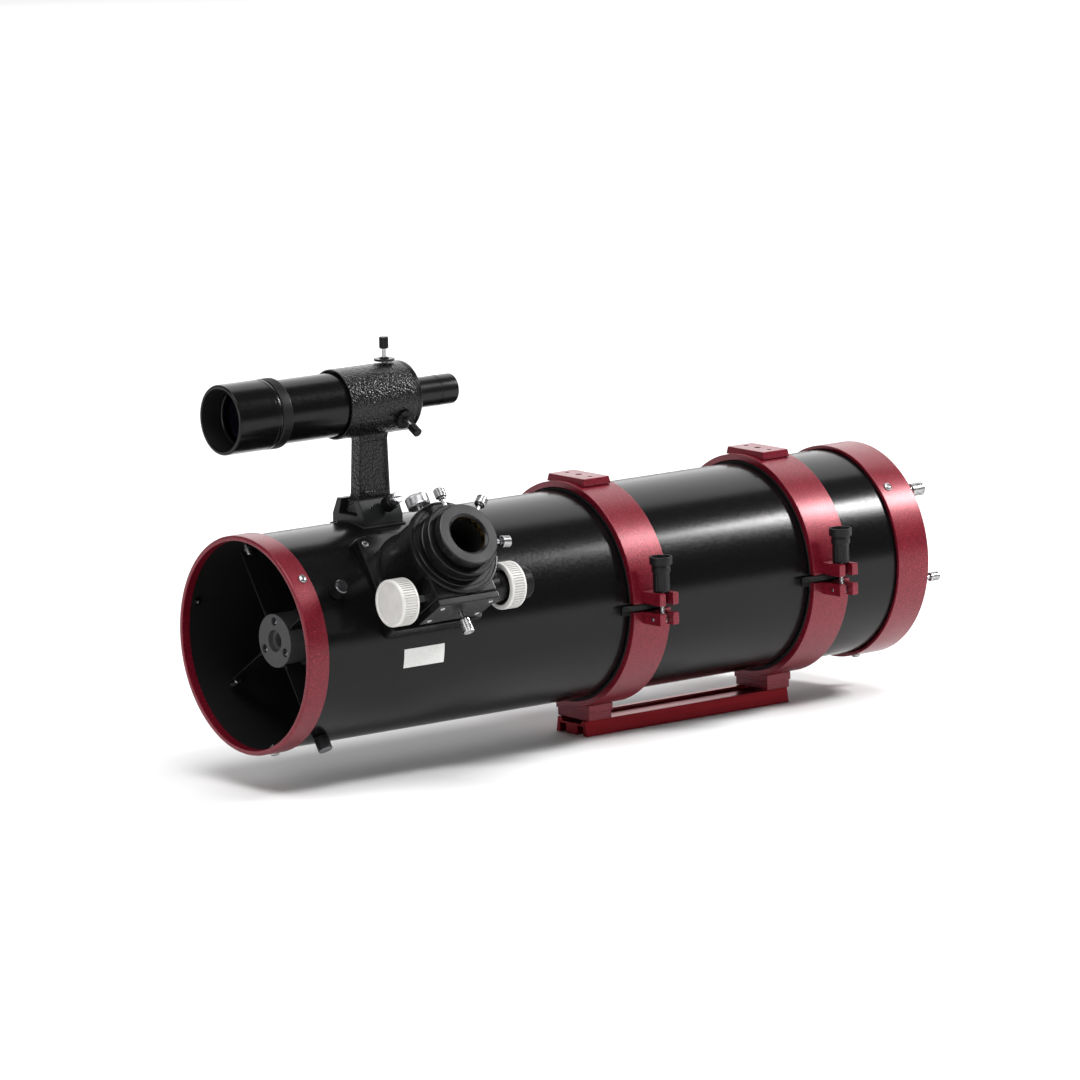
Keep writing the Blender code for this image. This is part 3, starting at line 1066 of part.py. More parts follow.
def finder_bracket(axis, finder):
    """Barrel on a tapering stalk, with a dovetail foot that slides in the shoe."""
    outer = BRACKET_BORE_R + BRACKET_WALL
    profile = [(outer, BRACKET_REAR), (outer, BRACKET_FRONT), (BRACKET_BORE_R, BRACKET_FRONT),
               (BRACKET_BORE_R, BRACKET_REAR)]
    barrel = turned("finder_bracket", profile, LARGE_STEPS, finder, (0, 0, 0), REARWARDS)
    low = CHANNEL_FLOOR + GAP
    half = [(channel_half(low) - 2 * GAP, TUBE_R + low),
            (channel_half(FOOT_TOP) - 2 * GAP, TUBE_R + FOOT_TOP)]
    outline = half + [(-y, z) for y, z in reversed(half)]
    foot = prism("bracket_foot", outline, FOOT_FRONT, SHOE_FRONT + SHOE_LENGTH, axis)
    stalk_low = TUBE_R + FOOT_TOP - STALK_IN_FOOT
    stalk_high = FINDER_Z - BRACKET_BORE_R + OVERSHOOT
    stalk = block("bracket_stalk", (STALK_FRONT_LOW, -STALK_HALF, stalk_low),
                  (STALK_REAR_LOW, STALK_HALF, stalk_high), axis)
    for vert in stalk.data.vertices:
        if vert.co.z > stalk_low:
            front = vert.co.x < (STALK_FRONT_LOW + STALK_REAR_LOW) / 2
            vert.co.x = STALK_FRONT_HIGH if front else STALK_REAR_HIGH
    join(barrel, stalk, foot)
    cut(barrel, rod("bracket_bore", BRACKET_BORE_R, 0, REAR_END, LARGE_STEPS, finder,
                    (0, 0, 0), REARWARDS))
    for i, angle in enumerate(three_angles(90)):
        cut(barrel, rod(f"bracket_hole_{i + 1}", THUMB_STEM_R + THREAD_GAP, FINDER_WAIST_R,
                        2 * BRACKET_BORE_R, SMALL_STEPS, finder, (BRACKET_SCREW_X, 0, 0),
                        around(1, angle)))
    part(barrel, "hammered_black")


def bracket_screws(finder):
    tip = FINDER_WAIST_R + BRACKET_SCREW_TIP_GAP
    nut = BRACKET_BORE_R + BRACKET_WALL + BRACKET_NUT_GAP
    nut_end = nut + BRACKET_NUT
    head = nut_end + BRACKET_SCREW_NECK
    profile = [(0, tip), (THUMB_STEM_R, tip), (THUMB_STEM_R, nut), (BRACKET_NUT_R, nut),
               (BRACKET_NUT_R, nut_end), (THUMB_STEM_R, nut_end), (THUMB_STEM_R, head),
               (BRACKET_SCREW_HEAD_R, head), (BRACKET_SCREW_HEAD_R, head + BRACKET_SCREW_HEAD),
               (0, head + BRACKET_SCREW_HEAD)]
    for i, angle in enumerate(three_angles(90)):
        part(turned(f"bracket_screw_{i + 1}", profile, SMALL_STEPS, finder,
                    (BRACKET_SCREW_X, 0, 0), around(1, angle)), "chrome")


def finder_scope(finder):
    """Tube, objective cell in front, lens, lock ring, rubber ring and eyepiece."""
    where = (finder, (0, 0, 0), REARWARDS)
    groove = (O_RING_X - O_RING_GROOVE / 2, O_RING_X + O_RING_GROOVE / 2)
    bore = FINDER_R - FINDER_WALL
    profile = [(FINDER_R, FINDER_FRONT), (FINDER_R, groove[0]), (O_RING_GROOVE_R, groove[0]),
               (O_RING_GROOVE_R, groove[1]), (FINDER_R, groove[1]), (FINDER_R, FINDER_TAPER_START),
               (FINDER_WAIST_R, FINDER_TAPER_END), (FINDER_WAIST_R, FINDER_REAR),
               (FINDER_WAIST_BORE_R, FINDER_REAR), (FINDER_WAIST_BORE_R, FINDER_TAPER_END),
               (bore, FINDER_TAPER_START), (bore, FINDER_FRONT)]
    part(turned("finder_tube", profile, MEDIUM_STEPS, *where), "gloss_black")
    half = O_RING_WIDTH / 2
    inner, outer = O_RING_GROOVE_R + GAP, BRACKET_BORE_R - GAP
    profile = [(outer, O_RING_X + half), (outer, O_RING_X - half), (inner, O_RING_X - half),
               (inner, O_RING_X + half)]
    part(turned("finder_o_ring", profile, LARGE_STEPS, *where), "rubber")
    sleeve = FINDER_R + GAP
    step = FINDER_FRONT - GAP
    shade = FINDER_R + SHADE_OUT
    profile = [(shade, SHADE_FRONT), (shade, SHADE_REAR), (sleeve, SHADE_REAR),
               (sleeve, step), (SHADE_BORE_R, step), (SHADE_BORE_R, SHADE_FRONT)]
    part(turned("finder_objective_cell", profile, LARGE_STEPS, *where), "gloss_black")
    lens_r = SHADE_BORE_R - GAP
    shares = (0.0, 0.6, 1.0)
    face = [(lens_r * s, LENS_X - LENS_BULGE * (1 - s * s)) for s in shares]
    back = [(lens_r * s, LENS_X + LENS_EDGE + LENS_BACK_BULGE * (1 - s * s)) for s in shares]
    profile = face + back[::-1]
    part(turned("finder_lens", profile, MEDIUM_STEPS, *where), "lens_glass")
    front = SHADE_REAR + GAP
    back = front + LOCK_RING_WIDTH
    outer = FINDER_R + LOCK_RING_OUT
    profile = [(outer, front), (outer, back), (sleeve, back), (sleeve, front)]
    part(turned("finder_lock_ring", profile, LARGE_STEPS, *where), "gloss_black")
    front = FINDER_REAR - EYEPIECE_SPIGOT
    spigot = FINDER_WAIST_BORE_R - GAP
    recess = EYEPIECE_REAR - EYEPIECE_RECESS
    profile = [(0, front), (spigot, front), (spigot, FINDER_REAR + GAP),
               (EYEPIECE_R, FINDER_REAR + GAP), (EYEPIECE_R, EYEPIECE_REAR),
               (EYEPIECE_RECESS_R, EYEPIECE_REAR), (EYEPIECE_RECESS_R, recess), (0, recess)]
    part(turned("finder_eyepiece", profile, MEDIUM_STEPS, *where), "gloss_black")


def main():
    axis = frame("tube_axis", (SKY_END_X, 0, AXIS_Z))
    focuser = frame("focuser_axis", (FOCUSER_X, 0, 0), axis, radians(90 - FOCUSER_ANGLE))
    finder = frame("finder_axis", (0, 0, FINDER_Z), axis)
    dovetail_bar()
    tube_rings()
    optical_tube(axis, focuser)
    front_ring(axis)
    rear_ring(axis)
    primary_mirror(axis)
    mirror_cell(axis)
    collimation_screws(axis)
    spider(axis)
    spider_knobs(axis)
    secondary(axis, focuser)
    focuser_base(focuser)
    roller_block(focuser)
    focus_drive(focuser)
    press_screws(focuser)
    drawtube(focuser)
    eyepiece_adapter(focuser)
    finder_shoe(axis)
    shoe_screw(axis)
    finder_bracket(axis, finder)
    bracket_screws(finder)
    finder_scope(finder)


main()
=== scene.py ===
# %% [markdown]
# # A reflector telescope tube, finished for a close look
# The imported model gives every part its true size, place and joint. This script adds what the
# eye wants: round edges, knurling, screws, felt, and finishes with grain. Each step first
# says what the piece is on the real telescope, and why it is made the way it is.

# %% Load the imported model
import json
from math import atan2, cos, floor, pi, radians, sin

import bmesh
import bpy
from mathutils import Matrix, Vector


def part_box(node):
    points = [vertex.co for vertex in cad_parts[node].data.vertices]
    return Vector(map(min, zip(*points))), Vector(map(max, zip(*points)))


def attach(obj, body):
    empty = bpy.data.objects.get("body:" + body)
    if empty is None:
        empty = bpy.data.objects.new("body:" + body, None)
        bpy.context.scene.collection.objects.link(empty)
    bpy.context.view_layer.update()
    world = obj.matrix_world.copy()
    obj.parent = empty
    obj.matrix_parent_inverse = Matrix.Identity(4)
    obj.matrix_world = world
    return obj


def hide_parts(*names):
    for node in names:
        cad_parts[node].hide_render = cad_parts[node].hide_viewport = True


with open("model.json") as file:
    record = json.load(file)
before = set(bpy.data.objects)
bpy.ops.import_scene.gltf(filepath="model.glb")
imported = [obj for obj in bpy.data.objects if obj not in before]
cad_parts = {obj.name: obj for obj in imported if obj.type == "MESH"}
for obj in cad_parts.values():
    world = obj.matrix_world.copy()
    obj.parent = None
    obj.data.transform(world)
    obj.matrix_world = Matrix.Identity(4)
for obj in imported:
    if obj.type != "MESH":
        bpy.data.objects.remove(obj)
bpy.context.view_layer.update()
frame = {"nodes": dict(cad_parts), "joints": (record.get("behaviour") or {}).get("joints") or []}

# %% [markdown]
# Lengths below are in millimetres, because that is how such parts are drawn. The packed
# model is in metres, so every length is multiplied by MM once, where it is used.

# %% Units and joints
MM = 0.001
JOINTS = {joint["name"]: joint for joint in frame["joints"]}
print(len(JOINTS), "joints,", len(frame["nodes"]), "nodes")

# %% [markdown]
# ## Where things are
# Most pieces are turned on a lathe about some axis: the tube's, the focuser's or the
# finder's. So each axis gets a place, a matrix whose Z runs along the axis. A piece is
# modelled upright at the origin and then moved to its place, which is easier than modelling
# it slanted. `measure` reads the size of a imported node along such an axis, for the outside
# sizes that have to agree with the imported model.

# %% Places and measuring
def place(origin, z_axis, x_axis):
    """Matrix with its origin and Z axis as given, and X as near x_axis as it can be."""
    z = Vector(z_axis).normalized()
    x = Vector(x_axis)
    x = (x - z * x.dot(z)).normalized()
    turned = Matrix((x, z.cross(x), z)).transposed().to_4x4()
    return Matrix.Translation(Vector(origin)) @ turned


def measure(node, where):
    """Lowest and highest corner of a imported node, in the coordinates of a place."""
    back = where.inverted()
    points = [back @ vertex.co for vertex in frame["nodes"][node].data.vertices]
    low = Vector([min(p[i] for p in points) for i in range(3)])
    high = Vector([max(p[i] for p in points) for i in range(3)])
    return low, high


def shift(x, y, z):
    """Move by a distance in millimetres."""
    return Matrix.Translation((x * MM, y * MM, z * MM))


def outwards(degrees):
    """Direction away from the tube's axis, in degrees up from the focuser's side."""
    return 0, -cos(radians(degrees)), sin(radians(degrees))


REARWARDS = (1.0, 0.0, 0.0)
UP = (0.0, 0.0, 1.0)
CROSSWAYS = Matrix.Rotation(pi / 2, 4, "Y")
AXIS_Z = JOINTS["tube_turn"]["pos_m"][2]
SKY_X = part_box("front_ring")[0].x
TUBE = place((SKY_X, 0, AXIS_Z), REARWARDS, UP)

FOCUS_X = JOINTS["coarse_focus"]["pos_m"][0]
FOCUS_DIRECTION = Vector(JOINTS["drawtube_slide"]["axis"])
FOCUSER = place((FOCUS_X, 0, AXIS_Z), FOCUS_DIRECTION, REARWARDS)

FINDER_Z = JOINTS["finder_focus"]["pos_m"][2]
FINDER = place((SKY_X, 0, FINDER_Z), REARWARDS, UP)
TUBE_R = measure("tube", TUBE)[1].x
R = TUBE_R / MM
print("tube radius", round(R, 2), "mm")

# %% [markdown]
# ## The modelling tools
# The operators act on whatever is selected, so each helper starts from a clean selection.
# A turned piece is made as a lathe hand would think of it: a single point is extruded along
# the outline, and the outline is spun about the axis. Closing the outline on itself, or on
# the axis, gives a solid with no open seam once the doubled points are merged.

# %% Selecting and editing
def deselect():
    if bpy.context.mode != "OBJECT":
        bpy.ops.object.mode_set(mode="OBJECT")
    bpy.ops.object.select_all(action="DESELECT")


def only(obj):
    deselect()
    bpy.context.view_layer.objects.active = obj
    obj.select_set(True)


def edit(obj, kind="FACE"):
    only(obj)
    bpy.ops.object.mode_set(mode="EDIT")
    bpy.ops.mesh.select_mode(type=kind)


def named(name):
    obj = bpy.context.object
    obj.name = name
    obj.data.name = name
    return obj


def pick_faces(obj, test):
    """In edit mode, select the faces for which test(middle, normal) is true."""
    mesh = bmesh.from_edit_mesh(obj.data)
    for face in mesh.faces:
        face.select = bool(test(face.calc_center_median(), face.normal))
    mesh.select_flush_mode()
    bmesh.update_edit_mesh(obj.data)
    return sum(face.select for face in mesh.faces)


def clean(obj):
    """Merge doubled points and turn every face outwards."""
    edit(obj)
    bpy.ops.mesh.select_all(action="SELECT")
    bpy.ops.mesh.remove_doubles(threshold=0.002 * MM)
    bpy.ops.mesh.normals_make_consistent(inside=False)
    bpy.ops.object.mode_set(mode="OBJECT")
    return obj


# %% Outlines, turned pieces and blocks
def outline(name, points):
    """A chain of edges through (x, y, z) points, extruded one after another."""
    deselect()
    bpy.ops.mesh.primitive_plane_add(size=1.0, location=points[0])
    obj = named(name)
    bpy.ops.object.transform_apply(location=True, rotation=True, scale=True)
    edit(obj, "VERT")
    bpy.ops.mesh.select_all(action="SELECT")
    bpy.ops.mesh.merge(type="CENTER")
    for start, end in zip(points, points[1:]):
        step = Vector(end) - Vector(start)
        bpy.ops.mesh.extrude_vertices_move(TRANSFORM_OT_translate={"value": step})
    return obj


def lathe(name, profile, steps=96, turn=2 * pi):
    """Spin a closed (radius, height) outline, given in millimetres, about Z."""
    points = [(radius * MM, 0.0, height * MM) for radius, height in profile]
    if min(radius for radius, _ in profile) > 0:
        points.append(points[0])
    obj = outline(name, points)
    bpy.ops.mesh.select_all(action="SELECT")
    bpy.ops.mesh.spin(steps=steps, angle=turn, center=(0, 0, 0), axis=(0, 0, -1))
    if turn < 2 * pi:
        bpy.ops.mesh.select_all(action="SELECT")
        bpy.ops.mesh.remove_doubles(threshold=0.002 * MM)
        bpy.ops.mesh.fill_holes(sides=0)
    return clean(obj)


def block(name, low, high):
    """A box between two corners, in millimetres."""
    low, high = Vector(low) * MM, Vector(high) * MM
    deselect()
    bpy.ops.mesh.primitive_cube_add(size=1.0, location=(low + high) / 2, scale=high - low)
    bpy.ops.object.transform_apply(location=True, rotation=True, scale=True)
    return named(name)


def rod(name, radius, low, high, steps=32, at=(0, 0)):
    """A cylinder along Z, in millimetres."""
    deselect()
    middle = (at[0] * MM, at[1] * MM, (low + high) / 2 * MM)
    bpy.ops.mesh.primitive_cylinder_add(vertices=steps, radius=radius * MM,
                                        depth=(high - low) * MM, location=middle)
    bpy.ops.object.transform_apply(location=True, rotation=True, scale=True)
    return named(name)


def extrusion(name, points, low, high):
    """A closed outline in (x, y) millimetres, filled and extruded along Z."""
    chain = [(x * MM, y * MM, low * MM) for x, y in points]
    obj = outline(name, chain + chain[:1])
    bpy.ops.mesh.select_all(action="SELECT")
    bpy.ops.mesh.remove_doubles(threshold=0.002 * MM)
    bpy.ops.mesh.edge_face_add()
    bpy.ops.mesh.extrude_region_move(
        TRANSFORM_OT_translate={"value": (0, 0, (high - low) * MM)})
    return clean(obj)


# %% [markdown]
# Nothing made of metal has a truly sharp edge, and it is the small round edge that catches
# the light. A Bevel modifier with an angle limit rounds the corners of a profile and leaves
# the shallow facets of the turning alone. Holes and joins are Booleans, applied at once.

# %% Edges, cuts and joins
def apply_modifier(obj, modifier):
    only(obj)
    bpy.ops.object.modifier_apply(modifier=modifier.name)
    return obj


def soften(obj, width, segments=2, angle=30.0):
    bevel = obj.modifiers.new("edge", "BEVEL")
    bevel.width = width * MM
    bevel.segments = segments
    bevel.limit_method = "ANGLE"
    bevel.angle_limit = radians(angle)
    return apply_modifier(obj, bevel)


def boolean(obj, tool, operation):
    modifier = obj.modifiers.new("boolean", "BOOLEAN")
    modifier.object = tool
    modifier.operation = operation
    modifier.solver = "EXACT"
    apply_modifier(obj, modifier)
    bpy.data.objects.remove(tool, do_unlink=True)
    return obj


def cut(obj, *tools):
    for tool in tools:
        boolean(obj, tool, "DIFFERENCE")
    return obj


def join(obj, *tools):
    for tool in tools:
        boolean(obj, tool, "UNION")
    return obj


def move(obj, where):
    """Put an object at a place and bake that place into its mesh."""
    obj.matrix_world = where
    only(obj)
    bpy.ops.object.transform_apply(location=True, rotation=True, scale=True)
    return obj


def copy_of(obj, name):
    twin = obj.copy()
    twin.data = obj.data.copy()
    twin.name = twin.data.name = name
    bpy.context.scene.collection.objects.link(twin)
    return twin


# %% [markdown]
# ## Grips
# Straight ribs stop a finger from slipping round a knob. The side wall is spun with two
# faces for each rib, and every second face is pushed in. A diamond knurl is a fine grid in
# which every second point is pushed in, as a pair of knurling wheels would leave it.

# %% Ribs and knurls
def column(point, count):
    """Number of the slice round Z that a point lies in."""
    return floor((atan2(point.y, point.x) % (2 * pi)) / (2 * pi) * count)


def ribbed(obj, count, radius, low, high, depth):
    """Push in every second face of a side wall that was spun with 2 * count faces."""
    edit(obj)
    pick_faces(obj, lambda middle, normal: abs(normal.z) < 0.3
               and low * MM < middle.z < high * MM
               and middle.xy.length > (radius - 0.6) * MM
               and normal.xy.dot(middle.xy) > 0
               and column(middle, 2 * count) % 2 == 0)
    bpy.ops.mesh.extrude_region_shrink_fatten(
        TRANSFORM_OT_shrink_fatten={"value": -depth * MM})
    bpy.ops.object.mode_set(mode="OBJECT")
    return obj


def knurled_wall(radius, low, high, rows):
    """Outline points up a side wall, close enough together to be knurled."""
    return [(radius, low + (high - low) * i / rows) for i in range(rows + 1)]


def knurl(obj, count, radius, low, high, rows, depth):
    """Push in every second point of a grid, for a diamond pattern."""
    edit(obj, "VERT")
    mesh = bmesh.from_edit_mesh(obj.data)
    pitch = (high - low) / rows
    for vertex in mesh.verts:
        row = round((vertex.co.z / MM - low) / pitch)
        on_wall = abs(vertex.co.xy.length - radius * MM) < 0.02 * MM and 0 < row < rows
        slice_number = round(atan2(vertex.co.y, vertex.co.x) / (2 * pi) * count)
        vertex.select = on_wall and (row + slice_number) % 2 == 0
    mesh.select_flush_mode()
    bmesh.update_edit_mesh(obj.data)
    bpy.ops.transform.shrink_fatten(value=-depth * MM)
    bpy.ops.object.mode_set(mode="OBJECT")
    return obj


# %% [markdown]
# Every piece is handed over in the same way: it is shaded smooth across its round faces,
# takes a finish, rides on the body it belongs to, and hides the imported nodes that it
# stands for. Weighted normals keep a flat face flat right up to its bevel, where plain
# smooth shading would make it look like a cushion.

# %% Handing a piece over
def hand_over(obj, body, slot, material, *nodes, angle=30.0):
    only(obj)
    bpy.ops.object.shade_smooth_by_angle(angle=radians(angle))
    weigh = obj.modifiers.new("weigh", "WEIGHTED_NORMAL")
    weigh.keep_sharp = True
    apply_modifier(obj, weigh)
    obj.data.materials.clear()
    obj.data.materials.append(material)
    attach(obj, body)
    if nodes:
        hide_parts(*nodes)
    print(f"{obj.name}: {len(obj.data.polygons)} faces on {body}")
    return obj


# %% [markdown]
# ## Finishes
# Each finish is a small node tree on one Principled shader. Texture space is the object's
# own, in metres, so a noise scale of 1000 has grains of about a millimetre. What never
# changes over a surface, such as its metallic value or its coat, is set on the shader
# itself; only colour, roughness and the bump are driven by textures.

# %% Node helpers
def new_material(name, color, metallic, roughness, **constants):
    material = bpy.data.materials.new(name)
    material.use_nodes = True
    shader = material.node_tree.nodes["Principled BSDF"]
    shader.inputs["Base Color"].default_value = (*color, 1.0)
    shader.inputs["Metallic"].default_value = metallic
    shader.inputs["Roughness"].default_value = roughness
    for socket, value in constants.items():
        shader.inputs[socket.replace("_", " ").title().replace("Ior", "IOR")].default_value = value
    return material


def texture(material, kind, scale, where=None, stretch=(1, 1, 1), **settings):
    """A texture node that reads Object coordinates, turned to a place if one is given."""
    nodes, links = material.node_tree.nodes, material.node_tree.links
    coordinates = nodes.new("ShaderNodeTexCoord")
    source = coordinates.outputs["Object"]
    if where is not None:
        turn = nodes.new("ShaderNodeMapping")
        turn.vector_type = "TEXTURE"
        turn.inputs["Location"].default_value = where.to_translation()
        turn.inputs["Rotation"].default_value = where.to_euler()
        links.new(source, turn.inputs["Vector"])
        source = turn.outputs["Vector"]
    if tuple(stretch) != (1, 1, 1):
        widen = nodes.new("ShaderNodeMapping")
        widen.inputs["Scale"].default_value = stretch
        links.new(source, widen.inputs["Vector"])
        source = widen.outputs["Vector"]
    node = nodes.new(kind)
    node.inputs["Scale"].default_value = scale
    for name, value in settings.items():
        if name in node.inputs:
            node.inputs[name].default_value = value
        else:
            setattr(node, name, value)
    links.new(source, node.inputs["Vector"])
    return node


def ramp(material, source, stops):
    """A colour ramp with (position, colour or grey) stops."""
    nodes, links = material.node_tree.nodes, material.node_tree.links
    node = nodes.new("ShaderNodeValToRGB")
    elements = node.color_ramp.elements
    while len(elements) < len(stops):
        elements.new(0.5)
    for element, (position, color) in zip(elements, stops):
        element.position = position
        grey = not isinstance(color, tuple)
        element.color = (color, color, color, 1.0) if grey else (*color, 1.0)
    links.new(source, node.inputs["Fac"])
    return node.outputs["Color"]


def drive(material, socket, source):
    shader = material.node_tree.nodes["Principled BSDF"]
    material.node_tree.links.new(source, shader.inputs[socket])


def noise(material, scale, **settings):
    return texture(material, "ShaderNodeTexNoise", scale, **settings)


def vary(material, socket, pattern, stops):
    """Let a pattern pick a socket's colour or value from a ramp of stops."""
    drive(material, socket, ramp(material, pattern.outputs["Fac"], stops))


def bump(material, source, height, strength=1.0, under=None):
    """Raise the surface by height millimetres where the source is white."""
    nodes, links = material.node_tree.nodes, material.node_tree.links
    node = nodes.new("ShaderNodeBump")
    node.inputs["Strength"].default_value = strength
    node.inputs["Distance"].default_value = height * MM
    links.new(source, node.inputs["Height"])
    if under is not None:
        links.new(under, node.inputs["Normal"])
    drive(material, "Normal", node.outputs["Normal"])
    return node.outputs["Normal"]


# %% [markdown]
# ** Crimson powder coat.** The end rings and tube rings are coated with a metallic powder
# that flows into a fine wrinkle. Two noises make it: a fine one for the wrinkle, which also
# lifts the colour of its crests, and a coarse one for the slow change in gloss.

# %% Red finishes
def powder_coat():
    material = new_material("crimson_powder_coat", (0.15, 0.003, 0.011), 0.35, 0.35,
                            specular_ior_level=0.35, coat_weight=0.30, coat_roughness=0.26)
    grain = noise(material, 1150.0, Detail=2.0, Roughness=0.6)
    patch = noise(material, 26.0, Detail=2.0)
    vary(material, "Base Color", grain, [
        (0.34, (0.085, 0.0015, 0.006)), (0.50, (0.155, 0.003, 0.012)),
        (0.64, (0.25, 0.008, 0.028)), (0.74, (0.42, 0.050, 0.090))])
    vary(material, "Roughness", patch, [(0.3, 0.33), (0.7, 0.41)])
    bump(material, grain.outputs["Fac"], 0.14, 0.7)
    return material


def red_anodised():
    """Extruded bar: dyed oxide, with the faint streaks of the die along its length."""
    material = new_material("dark_red_anodised", (0.22, 0.006, 0.012), 0.75, 0.34)
    streaks = noise(material, 900.0, stretch=(0.012, 1, 1), Detail=3.0)
    vary(material, "Base Color", streaks, [
        (0.3, (0.20, 0.006, 0.012)), (0.7, (0.30, 0.010, 0.018))])
    vary(material, "Roughness", streaks, [(0.3, 0.28), (0.7, 0.40)])
    bump(material, streaks.outputs["Fac"], 0.02, 0.35)
    return material


CRIMSON = powder_coat()
BAR_RED = red_anodised()

# %% [markdown]
# ** Blacks.** Nearly everything else is black, and the blacks differ mostly in how they take
# light: deep gloss paint with a slight orange peel on the tube, satin oxide on turned parts,
# a hammered paint on the finder's bracket, moulded plastic, flat paint inside, and felt. The
# adapter's turned face takes a copy of the satin oxide painted lighter, as painted sheen.

# %% Black finishes
def gloss_black():
    material = new_material("gloss_black_paint", (0.003, 0.003, 0.0035), 0.0, 0.19,
                            specular_ior_level=0.20)
    peel = noise(material, 420.0, Detail=1.0)
    speck = noise(material, 1700.0, Detail=1.0)
    vary(material, "Base Color", speck, [
        (0.35, (0.0022, 0.0022, 0.0026)), (0.75, (0.0050, 0.0048, 0.0050))])
    vary(material, "Roughness", peel, [(0.3, 0.17), (0.7, 0.23)])
    lower = bump(material, peel.outputs["Fac"], 0.035, 0.25)
    bump(material, speck.outputs["Fac"], 0.012, 0.35, lower)
    return material


def satin_black(name="satin_black_oxide", where=None, sheen_lightness=1.0):
    """Anodised black; with a place, it also shows the fine rings that turning leaves. A multiplier above
    1 paints it lighter, as painted sheen.
    """
    dark, light = 0.0050 * sheen_lightness, 0.0066 * sheen_lightness
    material = new_material(name, (0.012, 0.012, 0.013), 0.15, 0.26, specular_ior_level=0.28)
    cloud = noise(material, 45.0, Detail=1.0)
    vary(material, "Base Color", cloud, [
        (0.3, (dark, dark, dark * 1.04)), (0.7, (light, light, light * 1.04))])
    vary(material, "Roughness", cloud, [(0.3, 0.25), (0.7, 0.28)])
    if where is None:
        grain = noise(material, 2600.0, Detail=1.0)
        bump(material, grain.outputs["Fac"], 0.004, 0.25)
    else:
        rings = texture(material, "ShaderNodeTexWave", 620.0, where, wave_type="RINGS",
                        rings_direction="Z", Distortion=0.6)
        bump(material, rings.outputs["Fac"], 0.006, 0.3)
    return material


def hammered_black():
    material = new_material("hammered_black_paint", (0.005, 0.005, 0.005), 0.1, 0.24,
                            specular_ior_level=0.28, coat_weight=0.12, coat_roughness=0.12)
    dents = texture(material, "ShaderNodeTexVoronoi", 620.0, feature="SMOOTH_F1")
    fine = noise(material, 900.0, Detail=3.0)
    vary(material, "Base Color", fine, [
        (0.35, (0.002, 0.002, 0.002)), (0.7, (0.009, 0.0085, 0.0085))])
    vary(material, "Roughness", fine, [(0.3, 0.18), (0.7, 0.36)])
    lower = bump(material, dents.outputs["Distance"], 0.9, 0.9)
    bump(material, fine.outputs["Fac"], 0.12, 0.4, lower)
    return material


def dull_black(name, color, roughness, scale, height):
    material = new_material(name, color, 0.0, roughness, specular_ior_level=0.25)
    grain = noise(material, scale, Detail=3.0)
    light = tuple(min(1.0, c * 1.7) for c in color)
    vary(material, "Base Color", grain, [(0.3, color), (0.7, light)])
    vary(material, "Roughness", grain, [
        (0.3, roughness * 0.88), (0.7, min(1.0, roughness * 1.1))])
    bump(material, grain.outputs["Fac"], height, 0.5)
    return material


def black_felt():
    material = new_material("black_felt", (0.006, 0.006, 0.006), 0.0, 0.95,
                            specular_ior_level=0.2, sheen_weight=0.12, sheen_roughness=0.5)
    fibres = noise(material, 1400.0, Detail=5.0, Distortion=1.5)
    vary(material, "Base Color", fibres, [
        (0.3, (0.003, 0.003, 0.003)), (0.7, (0.012, 0.012, 0.012))])
    bump(material, fibres.outputs["Fac"], 0.5, 0.8)
    return material


GLOSS = gloss_black()
SATIN = satin_black()
TURNED = satin_black("turned_black_oxide", FOCUSER)
# The adapter's end face takes this copy, painted five times lighter: a painted sheen for its bright
# satin highlight.
FACE = satin_black("faced_oxide_painted_sheen", FOCUSER, 5.0)
HAMMERED = hammered_black()
FLAT = dull_black("flat_black_paint", (0.0030, 0.0030, 0.0030), 0.60, 1500.0, 0.05)
PLASTIC = dull_black("black_plastic", (0.0045, 0.0045, 0.0048), 0.44, 2200.0, 0.02)
HUB_GREY = dull_black("grained_grey", (0.050, 0.050, 0.052), 0.60, 2400.0, 0.04)
SHOE_GREY = dull_black("dark_grey_oxide", (0.010, 0.0105, 0.011), 0.34, 1900.0, 0.012)
RUBBER = dull_black("black_rubber", (0.014, 0.014, 0.014), 0.70, 900.0, 0.03)
FELT = black_felt()

# %% [markdown]
# **Bright parts.** Plated screws, turned steel and brass differ in how far polishing has
# gone. A coarse noise varies the colour and the gloss, as handling does, and a very fine
# one gives the grain of the cut metal.

# %% Metals, white knobs and glass
def metal(name, color, roughness, lines):
    material = new_material(name, color, 1.0, roughness)
    wear = noise(material, 240.0, Detail=3.0)
    fine = noise(material, 3000.0, Detail=2.0)
    dark = tuple(c * 0.86 for c in color)
    vary(material, "Base Color", wear, [(0.3, dark), (0.7, color)])
    vary(material, "Roughness", wear, [
        (0.3, roughness * 0.75), (0.7, roughness * 1.35)])
    bump(material, fine.outputs["Fac"], 0.01 * lines, 0.3)
    return material


def white_satin():
    """Light anodised knobs: warm white, faintly mottled, with a soft gloss."""
    material = new_material("white_satin", (0.64, 0.63, 0.61), 0.0, 0.36,
                            coat_weight=0.2, coat_roughness=0.2)
    cloud = noise(material, 90.0, Detail=3.0)
    vary(material, "Base Color", cloud, [
        (0.3, (0.60, 0.59, 0.565)), (0.7, (0.67, 0.66, 0.64))])
    vary(material, "Roughness", cloud, [(0.3, 0.32), (0.7, 0.42)])
    grain = noise(material, 2600.0, Detail=1.0)
    bump(material, grain.outputs["Fac"], 0.01, 0.3)
    return material


def mirror_coating():
    material = new_material("aluminised_mirror", (0.86, 0.88, 0.89), 1.0, 0.02)
    dust = noise(material, 500.0, Detail=4.0)
    vary(material, "Roughness", dust, [(0.45, 0.015), (0.8, 0.09)])
    return material


def ground_glass():
    material = new_material("ground_glass_edge", (0.55, 0.62, 0.58), 0.0, 0.5)
    frost = noise(material, 1200.0, Detail=3.0)
    vary(material, "Base Color", frost, [
        (0.3, (0.46, 0.54, 0.50)), (0.7, (0.62, 0.68, 0.65))])
    bump(material, frost.outputs["Fac"], 0.02, 0.4)
    return material


